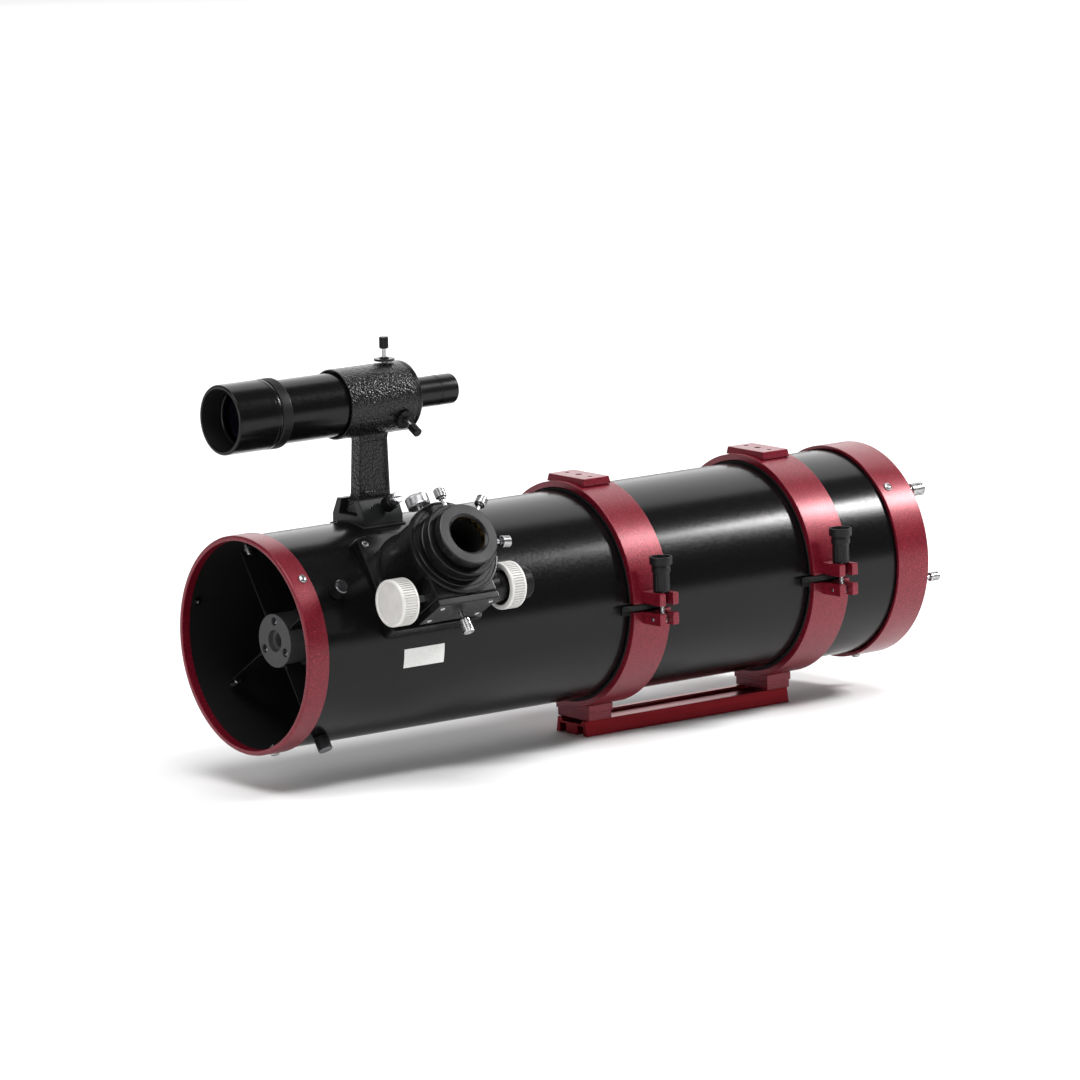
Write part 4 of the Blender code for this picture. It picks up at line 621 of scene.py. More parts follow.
def coated_lens():
    """Clear glass whose coating gives a dim blue reflection."""
    material = new_material("coated_lens", (0.55, 0.60, 0.85), 0.0, 0.03,
                            transmission_weight=1.0, ior=1.5, coat_weight=0.0)
    material.node_tree.nodes["Principled BSDF"].inputs["Specular Tint"].default_value = (
        0.25, 0.32, 1.0, 1.0)
    film = noise(material, 40.0, Detail=1.0)
    vary(material, "Base Color", film, [
        (0.35, (0.42, 0.48, 0.80)), (0.65, (0.55, 0.52, 0.80))])
    return material


CHROME = metal("bright_plating", (0.46, 0.46, 0.465), 0.25, 1.0)
DARK_CHROME = metal("black_chrome", (0.16, 0.16, 0.17), 0.20, 1.0)
STEEL = metal("turned_steel", (0.46, 0.46, 0.47), 0.32, 2.0)
BRASS = metal("brass", (0.58, 0.40, 0.15), 0.26, 2.0)
WHITE = white_satin()
MIRROR = mirror_coating()
GLASS_EDGE = ground_glass()
LENS = coated_lens()
print(len(bpy.data.materials), "materials")

# %% [markdown]
# Some pieces wear two finishes, such as a black knob with a bright end. The second finish
# is a second material slot, given to the faces that pass a test.

# %% A second finish
def second_finish(obj, material, where, test):
    """Give a material to the faces whose middle, seen from a place, passes a test."""
    back = where.inverted()
    turn = back.to_3x3()
    obj.data.materials.append(material)
    slot_number = len(obj.data.materials) - 1
    for face in obj.data.polygons:
        if test(back @ face.center / MM, turn @ face.normal):
            face.material_index = slot_number
    return obj


# %% [markdown]
# ## The dovetail bar
# The bar is an extrusion that a mount's saddle grips by its slanted sides. Two grooves
# lighten it from below and a shallow channel runs along its top. The outline is drawn once
# for one half, mirrored by a list expression, and extruded along the tube.

# %% Bar
BAR = place((0, 0, 0), REARWARDS, UP)
bar_low, bar_high = (corner / MM for corner in measure("dovetail_bar", BAR))
BAR_TOP = bar_high.x
BAR_BASE_HALF = bar_high.y
bar_half = [(0.0, 6.4), (1.6, 8.0), (8.2, 8.0), (8.2, 16.2), (0.0, 16.2), (0.0, BAR_BASE_HALF),
            (0.9, BAR_BASE_HALF), (BAR_TOP, 19.5), (BAR_TOP, 14.6), (BAR_TOP - 1.0, 14.6),
            (BAR_TOP - 1.0, 13.2), (BAR_TOP - 3.0, 13.2)]
bar_outline = bar_half + [(z, -y) for z, y in reversed(bar_half)]
bar = extrusion("dovetail_bar_finished", bar_outline, bar_low.z, bar_high.z)
soften(bar, 0.35, 2)
RING_X = [JOINTS[f"ring_{end}_open"]["pos_m"][0] / MM for end in ("front", "rear")]
for x in RING_X:
    recess = rod("recess", 5.6, -8, 6.0, 32)
    cut(bar, move(recess, place((x * MM, 0, 0), UP, REARWARDS)))
move(bar, BAR)
hand_over(bar, "ring_base", "bar_red", BAR_RED, "dovetail_bar")

# %% [markdown]
# A socket-head bolt goes up through each recess into the foot of a ring. It is turned, and
# a six-sided hole is cut in its head. The same shape serves for every socket screw here.

# %% Socket screws and cross-head screws
def socket_screw(name, head_r, head, shank_r, shank, socket_r):
    """Cap screw along Z: its head ends at height 0, its shank runs down from the head."""
    profile = [(0, 0), (head_r * 0.86, 0), (head_r, -head_r * 0.14), (head_r, -head),
               (shank_r, -head), (shank_r, -head - shank), (0, -head - shank)]
    screw = lathe(name, profile, 40)
    return cut(screw, rod("hexagon", socket_r, -head * 0.6, 1.0, 6))


def pan_screw(name, head_r, head, shank):
    """Cross-head screw with a domed head that stands on height 0."""
    dome = [(head_r * cos(a), head * (0.25 + 0.75 * sin(a)))
            for a in [pi / 2 * i / 6 for i in range(7)]]
    profile = [(0, -shank), (head_r * 0.45, -shank), (head_r * 0.45, 0), (head_r, 0)] + dome[:-1]
    screw = lathe(name, profile + [(0, head)], 40)
    for turned in (False, True):
        long_way, short_way = (0.5, 0.10) if turned else (0.10, 0.5)
        low = (-head_r * long_way, -head_r * short_way, head * 0.45)
        high = (head_r * long_way, head_r * short_way, head + 1)
        cut(screw, block("cross", low, high))
    return screw


bolt_shape = socket_screw("bar_bolt", 5.0, 4.6, 3.0, 2.0, 2.9)
soften(bolt_shape, 0.2, 2)
for end, x in zip(("front", "rear"), RING_X):
    bolt = copy_of(bolt_shape, f"bar_bolt_{end}")
    move(bolt, place((x * MM, 0, 1.2 * MM), (0, 0, -1), REARWARDS))
    hand_over(bolt, "ring_base", "steel", STEEL)
bpy.data.objects.remove(bolt_shape)

# %% [markdown]
# ## The tube rings
# Two castings close round the tube. Each is a band with a foot or a pad, two ears with a
# fork for the swing bolt, and knuckles for the hinge on the far side. The band is turned
# whole, then cut level at both joints, as the real ring is sawn from one casting. The
# blocks are softened before they are joined, so every outside edge is round.

# %% Sizes of the rings
ring_place = place((RING_X[0] * MM, 0, AXIS_Z), REARWARDS, UP)
upper_high = measure("ring_upper_front", ring_place)[1] / MM
lower_low = measure("ring_lower_front", ring_place)[0] / MM
PAD_TOP = upper_high.x
FOOT_BOTTOM = lower_low.x
EAR_END = upper_high.y
RING_HALF = upper_high.z
PAD_RISE = 4.0
RING_R = PAD_TOP - PAD_RISE
FELT_WALL = 2.0
RING_BORE = R + 0.3 + FELT_WALL
SPLIT_UPPER, SPLIT_LOWER, PIN_DROP = 3.0, -4.0, 5.5
EAR_HEIGHT = 10.5
EAR_HALF, KNUCKLE_END = 10.4, 13.0
HINGE_AT = -JOINTS["ring_front_open"]["pos_m"][1] / MM
CLAMP_AT = -JOINTS["clamp_knob_front_turn"]["pos_m"][1] / MM
print("ring", round(RING_R, 1), "outside,", round(RING_BORE, 1), "inside, ears to", round(EAR_END, 1))


# %% One half of a ring
def ring_half(name, side):
    """Side 1 is the upper half and -1 the lower one; x is up, y the clamp side."""
    band = lathe(name, [(RING_R, -RING_HALF), (RING_R, RING_HALF), (RING_BORE, RING_HALF),
                        (RING_BORE, -RING_HALF)], 160)
    soften(band, 0.6, 3)
    root = RING_R - 2.5
    split = SPLIT_UPPER if side > 0 else SPLIT_LOWER
    far = split + side * EAR_HEIGHT
    ear = block("ear", (min(split, far), root, -EAR_HALF), (max(split, far), EAR_END, EAR_HALF))
    half_cut = sorted((-2 * RING_R * side, split))
    hinge_cut = sorted((-2 * RING_R * side, 0.4 * side))
    cut(band,
        block("clamp_side", (half_cut[0], 0, -40), (half_cut[1], 2 * RING_R, 40)),
        block("hinge_side", (hinge_cut[0], -2 * RING_R, -40), (hinge_cut[1], 1, 40)))
    join(band, soften(ear, 0.7, 2))
    if side > 0:
        pad = block("pad", (root, -24.6, -14), (PAD_TOP, 24.6, 14))
        edit(pad)
        pick_faces(pad, lambda middle, normal: normal.x < -0.9)
        bpy.ops.transform.resize(value=(1, 1.05, 1.07))
        bpy.ops.object.mode_set(mode="OBJECT")
        join(band, soften(pad, 0.6, 2))
        for y, radius in ((0, 3.0), (16, 2.2), (-16, 2.2)):
            hole = rod("pad_hole", radius, PAD_TOP - 5, PAD_TOP + 2, 28)
            cut(band, move(hole, place((0, y * MM, 0), REARWARDS, UP)))
    else:
        foot = block("foot", (FOOT_BOTTOM, -22, -12.5), (-root, 22, 12.5))
        join(band, soften(foot, 0.7, 2))
        step = block("foot_step", (-RING_R - 4.5, -23, -13.4), (-root, 23, 13.4))
        join(band, soften(step, 0.6, 2))
    knuckles = [(-4.7, 4.7)] if side > 0 else [(-KNUCKLE_END, -5.0), (5.0, KNUCKLE_END)]
    for start, end in knuckles:
        web = sorted((0.4 * side, 8.0 * side))
        join(band, block("web", (web[0], HINGE_AT, start), (web[1], -root, end)),
             move(rod("knuckle", 5.0, start, end, 36), shift(0, HINGE_AT, 0)))
    cut(band, move(rod("hinge_hole", 2.3, -40, 40, 24), shift(0, HINGE_AT, 0)))
    fork = block("fork", (min(split, far) - 3, EAR_END - 18, -4), (max(split, far) + 3, EAR_END + 3, 4))
    cut(band, fork)
    if side < 0:
        pin_hole = move(rod("pin_hole", 1.8, -40, 40, 24),
                   shift(SPLIT_LOWER - PIN_DROP, CLAMP_AT, 0))
        cut(band, pin_hole)
    return band


# %% Both halves of both rings
for side, half_name in ((1, "upper"), (-1, "lower")):
    shape = ring_half(f"ring_{half_name}", side)
    for end, x in zip(("front", "rear"), RING_X):
        half = copy_of(shape, f"ring_{half_name}_{end}_casting")
        move(half, place((x * MM, 0, AXIS_Z), REARWARDS, UP))
        body = f"ring_top_{end}" if side > 0 else "ring_base"
        hand_over(half, body, "crimson", CRIMSON, f"ring_{half_name}_{end}")
    bpy.data.objects.remove(shape)

# %% [markdown]
# Felt lines each ring so that the clamp can't mark the paint. It is glued in two strips,
# and at the clamp side the lower strip runs out between the ears as a loose tongue. The
# strips are spun through a little less than half a turn; the tongue is an extruded
# outline that bends outwards.

# %% Felt
def felt_strip(name, start, end):
    """Strip between two angles, in degrees from the top towards the clamp side."""
    inner, outer = R + 0.15, RING_BORE - 0.05
    strip = lathe(name, [(outer, -RING_HALF + 0.8), (outer, RING_HALF - 0.8),
                         (inner, RING_HALF - 0.8), (inner, -RING_HALF + 0.8)],
                  72, radians(end - start))
    return move(strip, Matrix.Rotation(radians(start), 4, "Z"))


def felt_tongue(name):
    inner, outer = R + 0.15, RING_BORE - 0.3
    arc = [(-7.0 + 1.4 * i) for i in range(6)]
    lower = [(x, (inner ** 2 - x ** 2) ** 0.5) for x in arc]
    upper = [(x, (outer ** 2 - x ** 2) ** 0.5) for x in arc[:-2]]
    lip = [(1.2, inner + 1.2), (1.9, RING_R - 1.0), (0.2, EAR_END - 19.5), (-1.6, EAR_END - 19.0),
           (-1.0, RING_R - 1.0), (-1.9, RING_BORE + 0.5)]
    tongue = extrusion(name, lower + lip + upper[::-1], -RING_HALF - 7.5, RING_HALF - 1.0)
    return soften(tongue, 0.3, 2)


for end, x in zip(("front", "rear"), RING_X):
    where = place((x * MM, 0, AXIS_Z), REARWARDS, UP)
    top = move(felt_strip(f"felt_upper_{end}", -89.5, 88.0), where)
    hand_over(top, f"ring_top_{end}", "rubber", FELT)
    bottom = move(felt_strip(f"felt_lower_{end}", 94.5, 269.5), where)
    hand_over(bottom, "ring_base", "rubber", FELT)
    tongue = move(felt_tongue(f"felt_tongue_{end}"), where)
    hand_over(tongue, "ring_base", "rubber", FELT)

# %% [markdown]
# ## Hinge pins and clamps
# The pins are plain turned rods with a bevelled end. The swing bolt has an eye for its pin
# and a thread, which is drawn as fine grooves round the shank. The knob is one moulding:
# a body with shallow flutes, a shoulder and a flared, hollow collar.

# %% Pins and swing bolts
def pin(name, radius, low, high):
    edge = radius * 0.18
    profile = [(0, low), (radius - edge, low), (radius, low + edge), (radius, high - edge),
               (radius - edge, high), (0, high)]
    return lathe(name, profile, 32)


def thread(radius, low, high, pitch, depth):
    """Outline points of a thread's side, from low to high."""
    turns = max(1, round((high - low) / pitch))
    step = (high - low) / turns
    points = []
    for i in range(turns):
        points += [(radius - depth, low + step * i), (radius, low + step * (i + 0.5))]
    return points + [(radius - depth, high)]


KNOB_BASE = JOINTS["clamp_knob_front_turn"]["pos_m"][2] / MM - AXIS_Z / MM
for end, x in zip(("front", "rear"), RING_X):
    hinge = move(pin(f"hinge_pin_{end}_turned", 2.0, -KNUCKLE_END, KNUCKLE_END),
                 place((x * MM, -HINGE_AT * MM, AXIS_Z), REARWARDS, UP))
    hand_over(hinge, "ring_base", "steel", STEEL, f"hinge_pin_{end}")
    drop = SPLIT_LOWER - PIN_DROP
    cross_pin = move(pin(f"clamp_pin_{end}_turned", 1.5, -EAR_HALF, EAR_HALF),
                     place((x * MM, -CLAMP_AT * MM, AXIS_Z + drop * MM), REARWARDS, UP))
    hand_over(cross_pin, "ring_base", "steel", STEEL, f"clamp_pin_{end}")
    shank = lathe(f"clamp_bolt_{end}_turned",
                  [(0, 2.9), (2.5, 2.9), (2.5, 6.0)] + thread(2.5, 6.2, 35.6, 0.8, 0.35)
                  + [(1.9, 36.3), (0, 36.3)], 32)
    eye = soften(rod("eye", 4.3, -3.6, 3.6, 40), 0.4, 2)
    join(shank, move(eye, place((0, 0, 0), REARWARDS, UP)))
    cut(shank, move(rod("bore", 1.8, -9, 9, 24), place((0, 0, 0), REARWARDS, UP)))
    move(shank, place((x * MM, -CLAMP_AT * MM, AXIS_Z + drop * MM), UP, REARWARDS))
    hand_over(shank, f"clamp_bolt_{end}", "steel", CHROME, f"clamp_bolt_{end}")


# %% Clamp knobs
def clamp_knob(name):
    body_r, shoulder_r, collar_r, hollow_r = 7.3, 8.3, 10.0, 8.5
    top = 30.5
    profile = [(4.8, 0), (body_r - 0.5, 0), (body_r, 0.6), (body_r, 16.5), (shoulder_r, 17.4),
               (shoulder_r, 21.6), (shoulder_r - 0.5, 22.2), (shoulder_r - 0.3, 22.8),
               (collar_r, 24.2), (collar_r, top), (hollow_r, top), (hollow_r - 0.9, 23.0),
               (0, 23.0), (0, 19.0), (4.8, 19.0)]
    knob = lathe(name, profile[12:] + profile[:12] + [(0, 23.0)], 96)
    soften(knob, 0.3, 2)
    for i in range(8):
        flute = rod("flute", 3.2, -1, 15.6, 24, at=(body_r + 2.85, 0))
        cut(knob, move(flute, Matrix.Rotation(2 * pi * (i + 0.5) / 8, 4, "Z")))
    return knob


knob_shape = clamp_knob("clamp_knob")
for end, x in zip(("front", "rear"), RING_X):
    knob = copy_of(knob_shape, f"clamp_knob_{end}_moulded")
    move(knob, place((x * MM, -CLAMP_AT * MM, AXIS_Z + KNOB_BASE * MM), UP, REARWARDS))
    hand_over(knob, f"clamp_knob_{end}", "black_plastic", PLASTIC, f"clamp_knob_{end}")
bpy.data.objects.remove(knob_shape)

# %% [markdown]
# ## The optical tube and its end rings
# The tube is a rolled sheet, so it is only 1.2 mm thick: gloss paint outside and flat black
# inside, where any shine would spoil the view. The front ring is a turned channel that
# slips over the edge; the rear ring also carries the mirror's screws in its flange.

# %% Optical tube
tube_low, tube_high = (corner / MM for corner in measure("tube", TUBE))
WALL_INSIDE = R - 1.2
tube = lathe("optical_tube", [(R, tube_high.z), (R, tube_low.z), (WALL_INSIDE, tube_low.z),
                              (WALL_INSIDE, tube_high.z)], 192)
move(tube, TUBE)
opening = rod("opening", 30.6, 40, 150, 64)
cut(tube, move(opening, FOCUSER))
hand_over(tube, "tube", "gloss_black_paint", GLOSS, "tube")
second_finish(tube, FLAT, TUBE, lambda middle, normal: middle.xy.length < R - 0.3)

# %% Front ring
front_high = measure("front_ring", TUBE)[1] / MM
FRONT_OUTER = front_high.x
lip = WALL_INSIDE - 0.3
front_profile = [(FRONT_OUTER, front_high.z), (FRONT_OUTER, 1.6), (FRONT_OUTER - 0.5, 0.5),
                 (FRONT_OUTER - 1.5, 0), (lip - 0.2, 0), (lip - 0.6, 0.5), (lip - 0.6, 8.0),
                 (lip, 8.0), (lip, 3.0), (R + 0.3, 3.0), (R + 0.3, front_high.z)]
front = soften(lathe("front_ring_coated", front_profile, 192), 0.3, 2)
move(front, TUBE)
hand_over(front, "tube", "crimson", CRIMSON, "front_ring")

# %% Rear ring
rear_low, rear_high = (corner / MM for corner in measure("rear_ring", TUBE))
REAR_OUTER = rear_high.x
REAR_END = rear_high.z
FLANGE = REAR_END - 5.0
OPENING_R = 65.5
rear_profile = [(REAR_OUTER, REAR_END), (REAR_OUTER, rear_low.z), (R + 0.3, rear_low.z),
                (R + 0.3, FLANGE), (OPENING_R, FLANGE), (OPENING_R, REAR_END)]
rear = soften(lathe("rear_ring_coated", rear_profile, 192), 0.8, 3)
SCREW_CIRCLE = 78.5


def three(start):
    return [start + 120.0 * i for i in range(3)]


def spot(radius, degrees):
    """A point round the tube's axis, in degrees up from the focuser's side."""
    return radius * sin(radians(degrees)), radius * cos(radians(degrees))


AIM_ANGLES, LOCK_ANGLES = three(45.0), three(105.0)
for angles, radius in ((AIM_ANGLES, 2.8), (LOCK_ANGLES, 2.3)):
    for angle in angles:
        cut(rear, rod("screw_hole", radius, FLANGE - 5, REAR_END + 5, 28,
                      at=spot(SCREW_CIRCLE, angle)))
move(rear, TUBE)
hand_over(rear, "tube", "crimson", CRIMSON, "rear_ring")

# %% [markdown]
# Three pan-head screws hold each end ring. One screw is modelled and copied; each copy is
# turned to stand square on the ring. Inside the tube, a nut and the end of a bolt show
# behind each screw of the front ring.

# %% Ring screws
def around(x, degrees):
    """Place on the tube's axis whose Z points outwards at an angle."""
    return place((SKY_X + x * MM, 0, AXIS_Z), outwards(degrees), REARWARDS)


FRONT_SCREW_X, REAR_SCREW_INSET = 14.0, 24.4
RING_SCREW_ANGLES = three(43.0)
screw_shape = pan_screw("ring_screw", 3.9, 2.3, 3.0)
for ring, x, radius in (("front", FRONT_SCREW_X, FRONT_OUTER),
                        ("rear", REAR_END - REAR_SCREW_INSET, REAR_OUTER)):
    for i, angle in enumerate(RING_SCREW_ANGLES):
        outward = Vector(outwards(angle))
        middle = Vector((SKY_X + x * MM, 0, AXIS_Z)) + outward * (radius - 0.1) * MM
        screw = copy_of(screw_shape, f"{ring}_ring_screw_{i + 1}")
        move(screw, place(middle, outward, REARWARDS))
        hand_over(screw, "tube", "steel", CHROME)
bpy.data.objects.remove(screw_shape)
for i, angle in enumerate(RING_SCREW_ANGLES):
    nut = soften(rod(f"front_ring_nut_{i + 1}", 3.4, 86.9, 89.6, 6), 0.3, 2)
    bolt_end = lathe("bolt_end", [(0, 85.6), (1.4, 85.6), (1.75, 86.0), (1.75, 88), (0, 88)], 24)
    join(nut, bolt_end)
    move(nut, around(FRONT_SCREW_X, angle))
    hand_over(nut, "tube", "steel", DARK_CHROME)

# %% [markdown]
# ## The spider and the secondary mirror
# Four thin vanes stretch across the tube and hold a round hub. The hub carries the small
# slanted mirror on one central bolt, and three screws in countersinks tilt it. Each vane
# ends in a threaded boss that a knob outside the tube pulls tight.

# %% Spider
def side_spot(radius, degrees):
    """Place beside the tube's axis, with Z pointing rearwards."""
    x, y = spot(radius, degrees)
    return TUBE @ shift(x, y, 0)


HUB_FRONT, HUB_BACK, HUB_R = 32.4, 52.0, 22.9
VANE_X = 41.0
VANE_ANGLES = [33.0 + 90.0 * i for i in range(4)]
TILT_CIRCLE = 16.7
hub = lathe("spider_hub", [(HUB_R, HUB_FRONT), (HUB_R, HUB_BACK), (3.3, HUB_BACK), (3.3, 46.0),
                           (6.2, 46.0), (6.2, 37.4), (9.25, 37.4), (9.25, HUB_FRONT)], 128)
soften(hub, 0.5, 3)
for angle in three(90.0):
    at = spot(TILT_CIRCLE, angle)
    cut(hub, rod("tilt_hole", 2.3, 20, 60, 24, at), rod("tilt_recess", 3.8, 20, 35.8, 40, at))
move(hub, TUBE)
for i, angle in enumerate(VANE_ANGLES):
    vane = block("vane", (-8, -0.4, HUB_R - 3), (8, 0.4, 84.0))
    root = block("vane_root", (-8, -1.3, HUB_R - 3), (8, 1.3, HUB_R + 5.0))
    join(hub, move(vane, around(VANE_X, angle)), move(soften(root, 0.6, 2), around(VANE_X, angle)))
    boss = lathe(f"vane_boss_{i + 1}", [(0, 79.9), (2.8, 79.9), (3.2, 80.4), (3.2, 86.4),
                                        (2.8, 86.9), (0, 86.9)], 32)
    move(boss, around(VANE_X, angle))
    hand_over(boss, "tube", "matt_black", STEEL)
hand_over(hub, "tube", "matt_black", HUB_GREY, "spider")
second_finish(hub, FLAT, TUBE, lambda middle, normal: middle.xy.length > HUB_R + 0.2)


# %% Screws of the spider
def domed_screw(name, radius, low, seat, shank_r, tip):
    """Tilt screw: a smooth domed head with a small socket, and its shank."""
    dome = [(radius * cos(a), seat - (seat - low) * (0.35 + 0.65 * sin(a)))
            for a in [pi / 2 * i / 6 for i in range(6)]]
    profile = [(0, tip), (shank_r, tip), (shank_r, seat), (radius, seat)] + dome + [(0, low)]
    screw = lathe(name, profile, 40)
    return cut(screw, rod("socket", radius * 0.42, low - 1, low + 1.3, 6))


screw_shape = domed_screw("tilt_screw", 3.5, 32.9, 35.5, 2.0, 58.8)
for i, angle in enumerate(three(90.0)):
    screw = copy_of(screw_shape, f"secondary_screw_{i + 1}_turned")
    move(screw, side_spot(TILT_CIRCLE, angle))
    hand_over(screw, f"secondary_screw_{i + 1}", "steel", DARK_CHROME, f"secondary_screw_{i + 1}")
bpy.data.objects.remove(screw_shape)

bolt = lathe("secondary_bolt_turned", [(0, 41.7), (4.9, 41.7), (5.5, 42.3), (5.5, 45.7), (3.0, 45.7),
                                       (3.0, 65.6), (2.6, 66.0), (0, 66.0)], 48)
cut(bolt, rod("hexagon", 2.6, 38, 44.4, 6))
move(bolt, TUBE)
hand_over(bolt, "secondary_stem", "steel", DARK_CHROME, "secondary_bolt")


def spider_knob(node, where, end):
    """Black knob with a plated cap; the ribs fill what room its height leaves."""
    knob = lathe(f"{node}_moulded", [(0, 87.2), (1.6, 87.2), (2.0, 87.8), (2.0, 91.3), (5.6, 91.3),
                                    (6.25, 92.0), (6.25, 92.8), (6.25, end - 2.6),
                                    (6.25, end - 1.4), (6.0, end - 1.2), (6.1, end - 0.9),
                                    (5.6, end - 0.2), (4.8, end), (0, end)], 48)
    ribbed(knob, 24, 6.25, 92.8, end - 2.6, 0.45)
    move(knob, where)
    hand_over(knob, node, "black_plastic", PLASTIC, node)
    second_finish(knob, STEEL, where, lambda middle, normal: middle.z < 91.2)
    second_finish(knob, DARK_CHROME, where, lambda middle, normal: middle.z > end - 1.15)


TALL_KNOB_END, LOW_KNOB_END = 104.3, 97.3
for i, angle in enumerate(VANE_ANGLES):
    near_side = cos(radians(angle)) > 0
    end = TALL_KNOB_END if near_side else LOW_KNOB_END
    spider_knob(f"spider_knob_{i + 1}", around(VANE_X, angle), end)

# %% [markdown]
# The secondary is a slice of a glass rod, cut twice at 45 degrees, so its face is an
# ellipse that looks round from the focuser. Its holder is a rod with one slanted end. Both
# start as cylinders and are sliced with the bisect operator, which also fills the cut.

# %% Secondary mirror
def slice_off(obj, point, normal):
    """Cut away what lies on the side of a plane that the normal points to."""
    edit(obj)
    bpy.ops.mesh.select_all(action="SELECT")
    bpy.ops.mesh.bisect(plane_co=Vector(point) * MM, plane_no=normal, use_fill=True,
                        clear_outer=True)
    bpy.ops.object.mode_set(mode="OBJECT")
    return clean(obj)


SECONDARY = place((FOCUS_X, 0, AXIS_Z), REARWARDS, FOCUS_DIRECTION)
FOCUS_AT = (FOCUS_X - SKY_X) / MM
holder = rod("secondary_holder_turned", 24.0, 60.0 - FOCUS_AT, 40, 96)
slice_off(holder, (0, 0, -9.0), (1, 0, 1))
soften(holder, 0.5, 2)
cut(holder, rod("bore", 3.6, 50.0 - FOCUS_AT, 68.0 - FOCUS_AT, 28))
move(holder, SECONDARY)
hand_over(holder, "secondary", "matt_black", FLAT, "secondary_holder")
flat = rod("secondary_glass", 25.0, -60, 60, 96)
slice_off(flat, (0, 0, 0), (1, 0, 1))
slice_off(flat, (0, 0, -8.5), (-1, 0, -1))
soften(flat, 0.25, 1)
move(flat, SECONDARY)
hand_over(flat, "secondary", "mirror_coating", GLASS_EDGE, "secondary_mirror")
second_finish(flat, MIRROR, SECONDARY, lambda middle, normal: normal.x + normal.z > 1.3)

# %% [markdown]
# ## The main mirror and its cell
# The mirror is a thick glass disc with a shallow curve, coated on its front. It sits in a
# cup with three clips, and the cup hangs on three sprung screws that aim it. The springs
# are a small circle carried along a helix by the Screw modifier.

# %% Main mirror
MIRROR_R = 75.0
MIRROR_FRONT, MIRROR_BACK = 625.0, 650.0
curve = [(74.2 * (1 - i / 12), MIRROR_FRONT + 1.875 * (1 - (1 - i / 12) ** 2)) for i in range(13)]
glass = lathe("primary_glass", [(0, MIRROR_BACK), (MIRROR_R - 0.8, MIRROR_BACK),
                                (MIRROR_R, MIRROR_BACK - 0.8), (MIRROR_R, MIRROR_FRONT + 0.8)]
              + curve, 160)
move(glass, TUBE)
hand_over(glass, "primary", "mirror_coating", GLASS_EDGE, "primary_mirror")
second_finish(glass, MIRROR, TUBE, lambda middle, normal: normal.z < -0.9)

# %% Mirror cell
CELL_RIM_IN, CELL_RIM_OUT, CELL_PLATE_R = 75.3, 78.3, 86.5
CELL_FRONT, CELL_BACK, RIM_FRONT = 652.0, 658.0, 634.0
cell = lathe("mirror_cell_cast", [(CELL_RIM_OUT, RIM_FRONT), (CELL_RIM_OUT, CELL_FRONT),
                                  (CELL_PLATE_R, CELL_FRONT), (CELL_PLATE_R, CELL_BACK),
                                  (18, CELL_BACK), (18, CELL_FRONT), (CELL_RIM_IN, CELL_FRONT),
                                  (CELL_RIM_IN, RIM_FRONT)], 128)
soften(cell, 0.5, 2)
for angle in AIM_ANGLES:
    vent = rod("vent", 13.0, 640, 670, 48, at=spot(44.0, angle))
    socket = rod("socket", 3.3, CELL_BACK - 4.5, 670, 28, at=spot(SCREW_CIRCLE, angle))
    cut(cell, vent, socket)
move(cell, TUBE)
for angle in LOCK_ANGLES:
    clip = block("clip", (MIRROR_FRONT - 1.9, -5, 72.0), (RIM_FRONT + 3, 5, CELL_RIM_OUT))
    cut(clip, block("clip_seat", (MIRROR_FRONT - 0.3, -9, 0), (700, 9, CELL_RIM_IN + 0.5)))
    join(cell, move(soften(clip, 0.4, 2), around(0, angle)))
hand_over(cell, "primary", "matt_black", FLAT, "mirror_cell")

# %% Aiming knobs, springs and lock screws
knob_shape = lathe("collimation_knob", [
    (0, 655.1), (2.0, 655.1), (2.5, 655.7), (2.5, 676.05), (6.6, 676.05), (7.0, 676.5),
    (7.0, 678.6), (6.6, 679.05), (4.2, 679.05), (4.2, 681.6), (3.4, 682.2), (3.4, 684.2),
    (4.2, 684.8), (4.2, 688.05), (5.3, 688.05), (5.8, 688.6), (5.8, 689.6), (5.8, 700.4),
    (5.8, 701.4), (5.2, 702.05), (0, 702.05)], 48)
ribbed(knob_shape, 24, 5.8, 689.6, 700.4, 0.4)
screw_shape = lathe("lock_screw", [
    (0, 659.4), (1.6, 659.4), (2.0, 659.9), (2.0, 691.75), (3.6, 691.75), (4.0, 692.2),
    (4.0, 693.0), (4.0, 700.6), (4.0, 701.3), (3.5, 701.75), (0, 701.75)], 36)
ribbed(screw_shape, 18, 4.0, 693.0, 700.6, 0.35)


def spring(name, radius, wire_r, low, high, coils):
    """Open coil spring with flat-cut ends."""
    deselect()
    bpy.ops.mesh.primitive_circle_add(vertices=8, radius=wire_r * MM, rotation=(pi / 2, 0, 0),
                                      location=(radius * MM, 0, (low + wire_r) * MM))
    bpy.ops.object.transform_apply(location=True, rotation=True, scale=True)
    coil = named(name)
    helix = coil.modifiers.new("helix", "SCREW")
    helix.steps = helix.render_steps = 20
    helix.iterations = coils
    helix.screw_offset = (high - low - 2 * wire_r) / coils * MM
    helix.use_merge_vertices = False
    apply_modifier(coil, helix)
    edit(coil, "VERT")
    bpy.ops.mesh.select_all(action="SELECT")
    bpy.ops.mesh.fill_holes(sides=0)
    return clean(coil)


